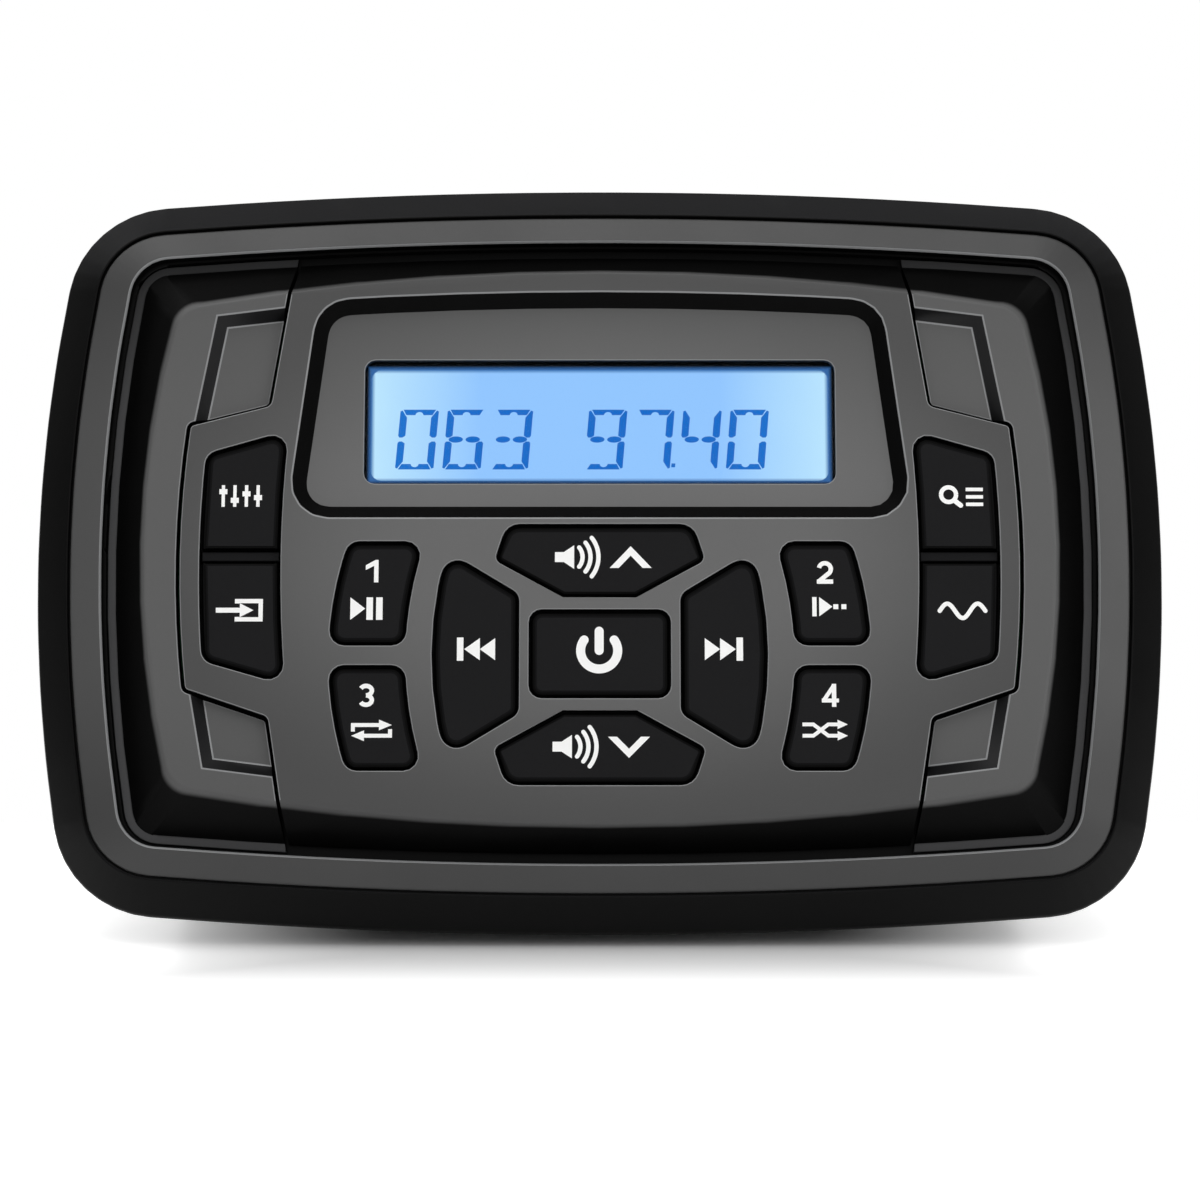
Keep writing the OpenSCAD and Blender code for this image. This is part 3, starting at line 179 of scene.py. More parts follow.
@dataclass(frozen=True)
class Dusk:
    """Painted shade that darkens a surface away from its middle, or only towards its top, where less light
    falls.
    """

    depth: float
    wide: float = 0.0
    below: bool = True
    near: float = 16.0
    far: float = 46.0

    def over(self, add: Adder, place: Socket, colour: Socket) -> Socket:
        """Paint shade over a colour.

        Args:
            add: adds a node to the material.
            place: position on the piece, in metres.
            colour: colour before.

        Returns:
            The darkened colour.
        """
        if self.below:
            weighed = add("VectorMath", {0: place, 1: (self.wide, 0.0, 1.0)}, operation="MULTIPLY")[0]
            away = add("VectorMath", {0: weighed}, operation="LENGTH")["Value"]
        else:
            away = add("SeparateXYZ", {0: place})["Z"]
        light = add("MapRange", {
            "Value": away, "From Min": self.near * MM, "From Max": self.far * MM, "To Min": 1.0,
            "To Max": 1 - self.depth}, **SOFT)[0]
        return add("VectorMath", {0: colour, 3: light}, operation="SCALE")[0]


@dataclass(frozen=True)
class Bloom:
    """Painted light from above: grey laid over surfaces that look up, fuller the more they look up."""

    colour: str
    start: float = 0.05
    end: float = 0.6

    def over(self, add: Adder, colour: Socket) -> Socket:
        """Paint light from above as grey where the surface looks up.

        Args:
            add: adds a node to the material.
            colour: colour before.

        Returns:
            The colour with painted light.
        """
        up = add("SeparateXYZ", {0: add("NewGeometry")["Normal"]})["Z"]
        settled = add("MapRange", {"Value": up, "From Min": self.start, "From Max": self.end}, **SOFT)[0]
        return add("Mix", {0: settled, 6: colour, 7: linear(self.colour)}, data_type="RGBA")[2]


@dataclass(frozen=True)
class Mask:
    """Painted shade that turns a moulding dark up to a level and thins out above it."""

    low: float
    high: float
    colour: str
    specular: float = 0.05

    def over(self, add: Adder, place: Socket, colour: Socket, specular: float) -> tuple[Socket, Socket]:
        """Paint shade over a surface.

        Args:
            add: adds a node to the material.
            place: position on the piece, in metres.
            colour: colour without the painted shade.
            specular: its specular level.

        Returns:
            The colour and specular level with the painted shade.
        """
        level = add("SeparateXYZ", {0: place})["Y"]
        share = add("MapRange", {
            "Value": level, "From Min": -self.high * MM, "From Max": -self.low * MM}, **SOFT)[0]
        return (add("Mix", {0: share, 6: colour, 7: linear(self.colour)}, data_type="RGBA")[2],
                add("Mix", {0: share, 2: specular, 3: self.specular})[0])


@dataclass(frozen=True)
class Finish:
    """A real material and the way its surface was made.

    Most real grains are about 0.1 mm wide. They are too fine to show in the render, so grain_mm draws them
    as coarse as they need to show. The relief and a wide drift together make the colour and gloss uneven.
    """

    title: str
    colour: str
    shade: str
    roughness: float
    ior: float | None = 1.53
    metallic: float = 0.0
    specular: float = 0.5
    pattern: Pattern = Pattern.SPARK
    grain_mm: float = 0.4
    relief: float = 0.2
    drift_mm: float = 18.0
    stretch: Place = (1.0, 1.0, 1.0)
    sheen: float = 0.0
    dusk: Dusk | None = None
    bloom: Bloom | None = None
    mask: Mask | None = None
    fine_share: float = 0.45
    depth_share: float = 0.1
    rough_spread: float = 0.08
    usual: Point = (0.25, 0.75)

    def fine_relief(self, add: Adder, place: Socket) -> Socket:
        """Draw the fine relief.

        Args:
            add: adds a node to the material.
            place: position on the piece, in metres.

        Returns:
            Height of the relief, from 0 to 1.
        """
        grain = {"Vector": place, "Scale": 1 / (self.grain_mm * MM)}
        if self.pattern is Pattern.CELLS:
            return add("TexVoronoi", grain)["Distance"]
        if self.pattern is Pattern.WOUND:
            grain["Scale"] /= math.tau
            return add("TexWave", {**grain, "Distortion": 0.4}, bands_direction="Z")["Fac"]
        if self.pattern is Pattern.TRACKS:
            return add("TexBrick", {
                **grain, "Mortar Size": 0.09, "Mortar Smooth": 0.2, "Brick Width": 1.7, "Row Height": 0.4},
                offset=0.37)["Fac"]
        grain["Vector"] = add("VectorMath", {0: place, 1: self.stretch}, operation="MULTIPLY")[0]
        return add("TexNoise", {**grain, "Detail": 3.0, "Roughness": 0.55})["Fac"]

    def wire(self, add: Adder) -> Socket:
        """Add the nodes of colour, roughness and relief.

        Args:
            add: adds a node to the material.

        Returns:
            The shader.
        """
        place = add("TexCoord")["Object"]
        relief = self.fine_relief(add, place)
        drift = add("TexNoise", {"Vector": place, "Scale": 1 / (self.drift_mm * MM), "Detail": 2.0})["Fac"]
        uneven = add("Mix", {0: self.fine_share, 2: drift, 3: relief})[0]
        colour = add("Mix", {0: uneven, 6: linear(self.colour), 7: linear(self.shade)}, data_type="RGBA")[2]
        specular: Socket | float = self.specular
        if self.dusk is not None:
            colour = self.dusk.over(add, place, colour)
        if self.bloom is not None:
            colour = self.bloom.over(add, colour)
        if self.mask is not None:
            colour, specular = self.mask.over(add, place, colour, self.specular)
        rough = add("MapRange", {
            "Value": uneven, "From Min": self.usual[0], "From Max": self.usual[1],
            "To Min": self.roughness - self.rough_spread, "To Max": self.roughness + self.rough_spread})[0]
        bump = add("Bump", {
            "Height": relief, "Strength": self.relief, "Distance": self.depth_share * self.grain_mm * MM})[0]
        inputs = {"Base Color": colour, "Roughness": rough, "Normal": bump, "Metallic": self.metallic,
                  "Specular IOR Level": specular, "Sheen Weight": self.sheen}
        if self.ior is not None:
            inputs["IOR"] = self.ior
        return add("BsdfPrincipled", inputs)[0]


@dataclass(frozen=True)
class LitFilm:
    """Film lit from behind, or a lip with a painted glow of the film's light: paler near the ends, darker at
    the border.
    """

    title: str
    colour: str
    bright: str
    border: str
    half: Point = (35.7, 8.95)
    middle: float = 19.8
    fade_mm: float = 17.0
    border_mm: float = 0.6
    cloud_mm: float = 12.0
    cloud_gain: float = 0.3
    cloud_base: float = 0.85
    unlit: str = "#060a0e"

    @staticmethod
    def near_edge(add: Adder, place: Socket, half: float, reach: float) -> Socket:
        """Give 0 inside the film, rising to 1 over the reach next to its edge."""
        away = add("Math", {0: place}, operation="ABSOLUTE")[0]
        return add("MapRange", {"Value": away, "From Min": (half - reach) * MM, "From Max": half * MM})[0]

    def wire(self, add: Adder) -> Socket:
        """Add the nodes of a film that gives light, stronger towards both ends.

        Args:
            add: adds a node to the material.

        Returns:
            The shader.
        """
        place = add("TexCoord")["Object"]
        split = add("SeparateXYZ", {0: place})
        up = add("Math", {0: split["Z"], 1: self.middle * MM}, operation="SUBTRACT")[0]
        ends = self.near_edge(add, split["X"], self.half[0], self.fade_mm)
        # The spreading film clouds the light in patches.
        cloud = add("TexNoise", {"Vector": place, "Scale": 1 / (self.cloud_mm * MM), "Detail": 1.0})["Fac"]
        glow = add("Math", {0: cloud, 1: self.cloud_gain, 2: self.cloud_base}, operation="MULTIPLY_ADD")[0]
        paler = add("Math", {0: ends, 1: glow}, operation="MULTIPLY")[0]
        lit = add("Mix", {0: paler, 6: linear(self.colour), 7: linear(self.bright)}, data_type="RGBA")[2]
        ways = zip((split["X"], up), self.half)
        rims = [self.near_edge(add, way, half, self.border_mm) for way, half in ways]
        rim = add("Math", dict(enumerate(rims)), operation="MAXIMUM")[0]
        colour = add("Mix", {0: rim, 6: lit, 7: linear(self.border)}, data_type="RGBA")[2]
        return add("BsdfPrincipled", {
            "Base Color": linear(self.unlit), "Roughness": 0.4, "Emission Color": colour,
            "Emission Strength": 1.0, "Specular IOR Level": 0.2})[0]


@dataclass(frozen=True)
class ClearCast:
    """Clear plastic with polished faces."""

    title: str
    colour: str
    roughness: float
    ior: float
    mirror: str
    haze_mm: float = 6.0

    def wire(self, add: Adder) -> Socket:
        """Add the nodes of a plastic that lets light through, with faint polishing haze.

        Args:
            add: adds a node to the material.

        Returns:
            The shader.
        """
        place = add("TexCoord")["Object"]
        haze = add("TexNoise", {"Vector": place, "Scale": 1 / (self.haze_mm * MM), "Detail": 2.0})["Fac"]
        rough = add("MapRange", {"Value": haze, "To Min": 0.0, "To Max": 2 * self.roughness})[0]
        return add("BsdfPrincipled", {
            "Base Color": linear(self.colour), "Roughness": rough, "IOR": self.ior, "Transmission Weight": 1.0,
            "Specular Tint": linear(self.mirror)})[0]


@dataclass(frozen=True)
class Paper:
    """Paper with a painted glow: white to the eye away from the stereo; near it the glow fades out and only its
    shading shows.
    """

    title: str
    colour: str
    lift: float = 0.7
    beside: Point = (32.0, 100.0)
    before: Point = (-4.0, -38.0)
    behind: Point = (64.0, 106.0)

    def wire(self, add: Adder) -> Socket:
        """Add the nodes of the paper and of the light that lifts it.

        Args:
            add: adds a node to the material.

        Returns:
            The shader.
        """
        split = add("SeparateXYZ", {0: add("TexCoord")["Object"]})
        across = add("Math", {0: split["X"]}, operation="ABSOLUTE")[0]
        strength: Socket | float = 0.0
        for away, (start, end) in ((across, self.beside), (split["Y"], self.before), (split["Y"], self.behind)):
            clear = add("MapRange", {"Value": away, "From Min": start * MM, "From Max": end * MM}, **SOFT)[0]
            strength = add("Math", {0: strength, 1: clear}, operation="MAXIMUM")[0]
        for share in (seen(add, 1.0), self.lift):
            strength = add("Math", {0: strength, 1: share}, operation="MULTIPLY")[0]
        glow = add("Emission", {"Color": WHITE, "Strength": strength})[0]
        paper = add("BsdfPrincipled", {
            "Base Color": linear(self.colour), "Roughness": 0.3, "Specular IOR Level": 0.3})[0]
        return add("AddShader", {0: paper, 1: glow})[0]


Look = Finish | LitFilm | ClearCast | Paper


class Finishes:
    """Every finish of the stereo, made once and shared."""

    # Satin charcoal ABS from a spark-eroded mould: soft light, no mirror, a faint even grain; painted shade
    # darkens it a little towards its top and bottom.
    CHARCOAL = Finish(
        "abs_moulded_charcoal_satin", "#565656", "#525252", 0.5, specular=0.3, grain_mm=0.35, relief=0.16,
        dusk=Dusk(0.18))
    # The same ABS on the centre panel: painted shade darkens it away from the middle, and turns its outer
    # slopes black up to near the face's level, with a soft edge.
    MASKED = replace(
        CHARCOAL, title="abs_moulded_charcoal_masked", colour="#626262", shade="#5e5e5e",
        dusk=Dusk(0.52, wide=0.62), mask=Mask(10.1, 10.75, "#050505"))
    # The same on the cheeks, with weaker painted shade away from the middle and the same painted shade on the
    # outer slopes.
    CHEEK = replace(
        MASKED, title="abs_moulded_charcoal_masked_even", colour="#575757", shade="#535353",
        dusk=Dusk(0.12))
    # The same ABS on the display plate, a little paler, with painted shade away from its middle.
    PLATE = replace(
        CHARCOAL, title="abs_moulded_charcoal_plate", colour="#686868", shade="#646464",
        dusk=Dusk(0.45, wide=0.55))
    # The same ABS on the clip-on ring, a little darker and smoother, with painted shade towards its top and
    # bottom.
    RING = replace(
        CHARCOAL, title="abs_moulded_charcoal_ring", colour="#484848", shade="#454545", roughness=0.46,
        specular=0.35, relief=0.14, dusk=Dusk(0.4))
    # Charcoal ABS on the deep ledge, dulled by release agent; painted shade darkens it, more towards its top,
    # where the ring shades it.
    LEDGE = replace(
        RING, title="abs_moulded_charcoal_dull", colour="#454546", shade="#3f3f40", roughness=0.6,
        specular=0.2, dusk=Dusk(0.62, below=False))
    # Painted highlight on the rounded edges of the ABS: thin pale lines where light catches them.
    BURNISH = Finish("abs_moulded_edge_burnished", "#828384", "#7a7b7c", 0.35, grain_mm=0.5, relief=0.05)
    # Black ASA with a fine grain: deep and even; painted light from above lays a soft grey on what looks up.
    SKIRT = Finish(
        "asa_moulded_black_grained", "#0a0a0a", "#080808", 0.42, specular=0.07, bloom=Bloom("#1e1e1f"))
    # Painted shade on the slopes, walls and grooves of the charcoal mouldings, where they turn from the front:
    # near black, almost no light comes back.
    SLOPE = Finish("abs_lacquered_black_matt", "#060606", "#040404", 0.6, specular=0.045, relief=0.12)
    # Painted shade on the pockets' slopes: dark, a little paler than the other slopes.
    POCKET = Finish("abs_lacquered_black_satin", "#1b1b1c", "#161617", 0.5, specular=0.15, relief=0.12)
    # Powder-coated sleeve and cover behind the dashboard: dark, with a fine orange peel.
    SHELL = Finish(
        "steel_powder_coated_black", "#1b1b1c", "#161617", 0.5, specular=0.4, grain_mm=0.9, relief=0.25)
    # Matt silicone keys: dark and soft.
    KEY = Finish(
        "silicone_moulded_black_matt", "#1b1b1c", "#181819", 0.7, ior=1.41, specular=0.1, grain_mm=0.3,
        relief=0.16)
    # Painted shade on the keys' rounded edges: blacker than their tops, and a little smoother.
    KEY_RIM = replace(
        KEY, title="silicone_moulded_black_edge", colour="#050505", shade="#030303", roughness=0.5,
        specular=0.06, relief=0.1)
    # Painted shade where the rounding runs out into the top: between the two.
    KEY_BROW = replace(
        KEY, title="silicone_moulded_black_satin", colour="#0c0c0d", shade="#0a0a0b", roughness=0.6,
        specular=0.08, relief=0.13)
    # White silk-screen ink: flat white with a slightly uneven coat.
    LEGEND = Finish(
        "ink_screen_printed_white", "#fbfbfa", "#f1f1ef", 0.6, ior=1.5, specular=0.2, grain_mm=0.25,
        relief=0.1, drift_mm=3.0)
    # Backlit blue display film, paler at both ends and dark where the frame shades it.
    FILM = LitFilm("lcd_film_backlit_blue", "#93c6fd", "#bde6fd", "#3a70ad")
    # Black lip of the holder with a painted glow: it gives off blue light along its inner edge, standing for
    # the film's light on it, and is dark further out.
    LIP = LitFilm("abs_moulded_black_edge_lit", "#30639f", "#30639f", "#000000", half=(36.3, 9.45))
    # Blue dye of the lit segments: even, a little paler towards both ends.
    DYE = LitFilm("lcd_segments_dyed_blue", "#0467c4", "#1672cc", "#0467c4")
    # Polished acrylic window with an anti-glare coat: clear, with hardly any reflection.
    LENS = ClearCast("acrylic_cast_coated", "#fafdff", 0.01, 1.49, "#2b2d2f")
    # Painted shade on the display plate's walls and slopes: near black, seen as a dark rim round the window.
    HOLDER = Finish(
        "abs_moulded_black_plain", "#08090a", "#060606", 0.4, specular=0.25, grain_mm=0.5, relief=0.08)
    # White acrylic light guide with a printed dot haze.
    GUIDE = Finish("acrylic_moulded_white", "#eef0f4", "#e6e9ee", 0.3, ior=1.49, grain_mm=0.8)
    # Closed-cell neoprene strip: dull black with fine open pores at its cut faces.
    FOAM = Finish(
        "neoprene_foam_cut", "#151515", "#0f0f0f", 0.9, specular=0.15, pattern=Pattern.CELLS, grain_mm=0.6,
        relief=0.5)
    # Moulded rubber glands: dull, slightly dusty.
    GLAND = Finish(
        "epdm_moulded_black", "#161616", "#101010", 0.75, ior=1.52, specular=0.2, grain_mm=0.5, relief=0.3,
        sheen=0.05)
    # Extruded aluminium, black anodised: metal sheen with faint lines along the fins.
    SINK = Finish(
        "aluminium_extruded_black_anodised", "#3a3b3e", "#323336", 0.42, ior=None, metallic=0.85,
        pattern=Pattern.DRAWN, grain_mm=0.5, relief=0.25, stretch=(1.0, 1.0, 0.03))
    # Zinc-plated steel screws: cool grey, mottled by the passivation.
    SCREW = Finish(
        "steel_zinc_plated", "#c4c7cb", "#a9adb2", 0.32, ior=None, metallic=1.0, grain_mm=0.6, relief=0.15,
        drift_mm=2.5)
    # Nickel-plated brass socket and screening can: bright, faintly warm.
    PLATING = Finish(
        "brass_nickel_plated", "#cfd0cc", "#bdbdb8", 0.22, ior=None, metallic=1.0, pattern=Pattern.DRAWN,
        relief=0.1, stretch=(1.0, 0.05, 1.0))
    # Gold-flashed contacts: a warm, soft mirror.
    GOLD = Finish("copper_gold_flashed", "#d6b25e", "#c79f48", 0.28, ior=None, metallic=1.0, grain_mm=0.5)
    # Glass-fibre board under green solder mask: tracks show as faint ridges.
    BOARD = Finish(
        "glass_epoxy_solder_masked", "#1c5a33", "#2f7a49", 0.35, ior=1.55, pattern=Pattern.TRACKS,
        grain_mm=2.4, relief=0.3)
    # Ivory nylon header: pale and slightly waxy.
    HEADER = Finish("nylon_moulded_ivory", "#e6dfcc", "#ddd4bd", 0.5, grain_mm=0.6)
    # Epoxy-moulded amplifier case: dark grey and matt.
    CHIP = Finish("epoxy_moulded_black", "#1b1b1c", "#151516", 0.55, grain_mm=0.25, relief=0.3)
    # Shrunk PVC sleeve of the capacitors: glossy, slightly rippled.
    SLEEVE = Finish("pvc_shrunk_blue", "#28406f", "#203560", 0.25, ior=1.54, grain_mm=3.0)
    # Enamelled copper turns on the choke: warm brown ridges.
    WIRE = Finish(
        "copper_enamelled_wound", "#a8672f", "#8a4f22", 0.3, ior=None, metallic=0.9, pattern=Pattern.WOUND,
        grain_mm=0.9, relief=0.7)
    # Coated white paper under the stereo: a painted glow makes it white away from the stereo, and near it a
    # soft shadow shows.
    PAPER = Paper("paper_white_coated", "#f6f6f6")

    def __init__(self) -> None:
        """Start with no material made."""
        self._made: dict[str, bpy.types.Material] = {}

    def get(self, finish: Look) -> bpy.types.Material:
        """Give a finish's material, making it at its first use.

        Args:
            finish: finish that the piece has.

        Returns:
            The shared material.
        """
        if finish.title not in self._made:
            self._made[finish.title] = bpy.data.materials.new(finish.title)
            wired(self._made[finish.title], "OutputMaterial", finish.wire)
        return self._made[finish.title]


FINISHES = Finishes()


class Run(Enum):
    """How an edge lies on a moulding."""

    ANY = "any way"
    LEVEL = "along one level"
    RISING = "from one level to another"


def rises(edge: bmesh.types.BMEdge) -> bool:
    """Say if an edge runs from one level to another."""
    return abs(edge.verts[0].co.y - edge.verts[1].co.y) > STEP * MM


@dataclass(frozen=True)
class Edge:
    """Which edges of a moulding are rounded, and by how much."""

    width: float
    least_angle: float = 35.0
    most_angle: float = 150.0
    low: float = -99.0
    high: float = 99.0
    least_length: float = 0.14
    least_side: float = 0.0
    run: Run = Run.ANY
    segments: int = 2
    tag: int = 0

    def takes(self, edge: bmesh.types.BMEdge) -> bool:
        """Say if this rule rounds the edge.

        Args:
            edge: edge of the welded moulding.

        Returns:
            True where the edge's angle, length, levels and neighbours fit the rule.
        """
        if len(edge.link_faces) != 2 or edge.calc_length() < self.least_length * MM:
            return False
        if self.run is not Run.ANY and rises(edge) is not (self.run is Run.RISING):
            return False
        levels = [-v.co.y / MM for v in edge.verts]
        if min(levels) < self.low - ON_LEVEL or max(levels) > self.high + ON_LEVEL:
            return False
        sides = [e.calc_length() for v in edge.verts for e in v.link_edges if e is not edge and not rises(e)]
        if min(sides, default=1.0) < self.least_side * MM:
            return False
        return math.radians(self.least_angle) < edge.calc_face_angle(0.0) < math.radians(self.most_angle)


def put(obj: Object, body: str, slot: str, *nodes: str) -> None:
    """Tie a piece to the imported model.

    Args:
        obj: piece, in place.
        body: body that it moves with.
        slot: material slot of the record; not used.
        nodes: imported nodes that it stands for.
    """
    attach(obj, body)
    if nodes:
        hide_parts(*nodes)
    LOG.info("built %s on %s", obj.name, body)


@dataclass
class Moulding:
    """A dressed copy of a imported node, welded and with rounded edges.

    Faces that meet under the angle smooth shade as one. A flat top at the level top is filled again. Faces
    of tagged edges have the finish of that number, and pick tells the number for every other face from its
    normal and its centre in millimetres.
    """

    node: str
    title: str
    slot: str
    edges: Sequence[Edge]
    finishes: Sequence[Finish]
    pick: Callable[[Vector, Vector], int] = lambda normal, centre: 0
    smooth: float = 42.0
    top: float | None = None

    def build(self) -> None:
        """Build the copy and tie it to the body of its node."""
        source = frame["nodes"][self.node]
        bm = bmesh.new()
        bm.from_mesh(source.data)
        bmesh.ops.remove_doubles(bm, verts=bm.verts[:], dist=WELD * MM)
        if self.top is not None:
            self.recap(bm)
        bmesh.ops.dissolve_limit(bm, angle_limit=math.radians(FLAT_ANGLE), verts=bm.verts[:], edges=bm.edges[:])
        self.soften(bm)
        mesh = bpy.data.meshes.new(self.title)
        bm.to_mesh(mesh)
        bm.free()
        mesh.set_sharp_from_angle(angle=math.radians(self.smooth))
        self.paint(mesh)
        obj = linked(self.title, mesh)
        obj.modifiers.new("even_shading", "WEIGHTED_NORMAL").keep_sharp = True
        put(obj, source["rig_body"], self.slot, self.node)

    def recap(self, bm: bmesh.types.BMesh) -> None:
        """Fill the flat top again as one face, so that no triangle of it lies over another.

        Args:
            bm: welded mesh.
        """
        flat = [f for f in bm.faces if all(abs(v.co.y + self.top * MM) < ON_LEVEL * MM for v in f.verts)]
        bmesh.ops.delete(bm, geom=flat, context="FACES")
        bmesh.ops.contextual_create(bm, geom=[e for e in bm.edges if e.is_boundary])
        bmesh.ops.recalc_face_normals(bm, faces=bm.faces[:])

    def soften(self, bm: bmesh.types.BMesh) -> None:
        """Round the edges that the rules take, rule by rule.

        Args:
            bm: welded mesh.
        """
        for face in bm.faces:
            face.material_index = 0
        for rule in self.edges:
            picked = [e for e in bm.edges if rule.takes(e)]
            if picked:
                made = bmesh.ops.bevel(bm, geom=picked, offset=rule.width * MM, offset_type="OFFSET",
                                       segments=rule.segments, profile=0.5, affect="EDGES", clamp_overlap=False)
                for face in made["faces"]:
                    face.material_index = rule.tag
        for face in bm.faces:
            face.smooth = True

    def paint(self, mesh: bpy.types.Mesh) -> None:
        """Give each face its finish.

        Args:
            mesh: mesh with rounded edges.
        """
        for finish in self.finishes:
            mesh.materials.append(FINISHES.get(finish))
        for polygon in mesh.polygons:
            if polygon.material_index == 0:
                polygon.material_index = self.pick(polygon.normal, polygon.center / MM)


def outward(normal: Vector, centre: Vector) -> bool:
    """Say if a face looks away from the middle of the front."""
    return normal.x * centre.x + normal.z * centre.z > 0


class Sign(Enum):
    """Plain signs printed on the keys."""

    PLAY_PAUSE = auto()
    PREVIOUS = auto()
    NEXT = auto()
    POWER = auto()
    RISE = auto()
    FALL = auto()
    SPEAKER = auto()
    SLIDERS = auto()
    SOURCE = auto()
    SEEK = auto()
    WAVE = auto()
    LOOP = auto()
    SHUFFLE = auto()
    INTRO = auto()


@dataclass(frozen=True)
class Mark:
    """A sign or numeral on a key: what it is, its middle and its size."""

    what: Sign | str
    centre: Point
    width: float
    height: float


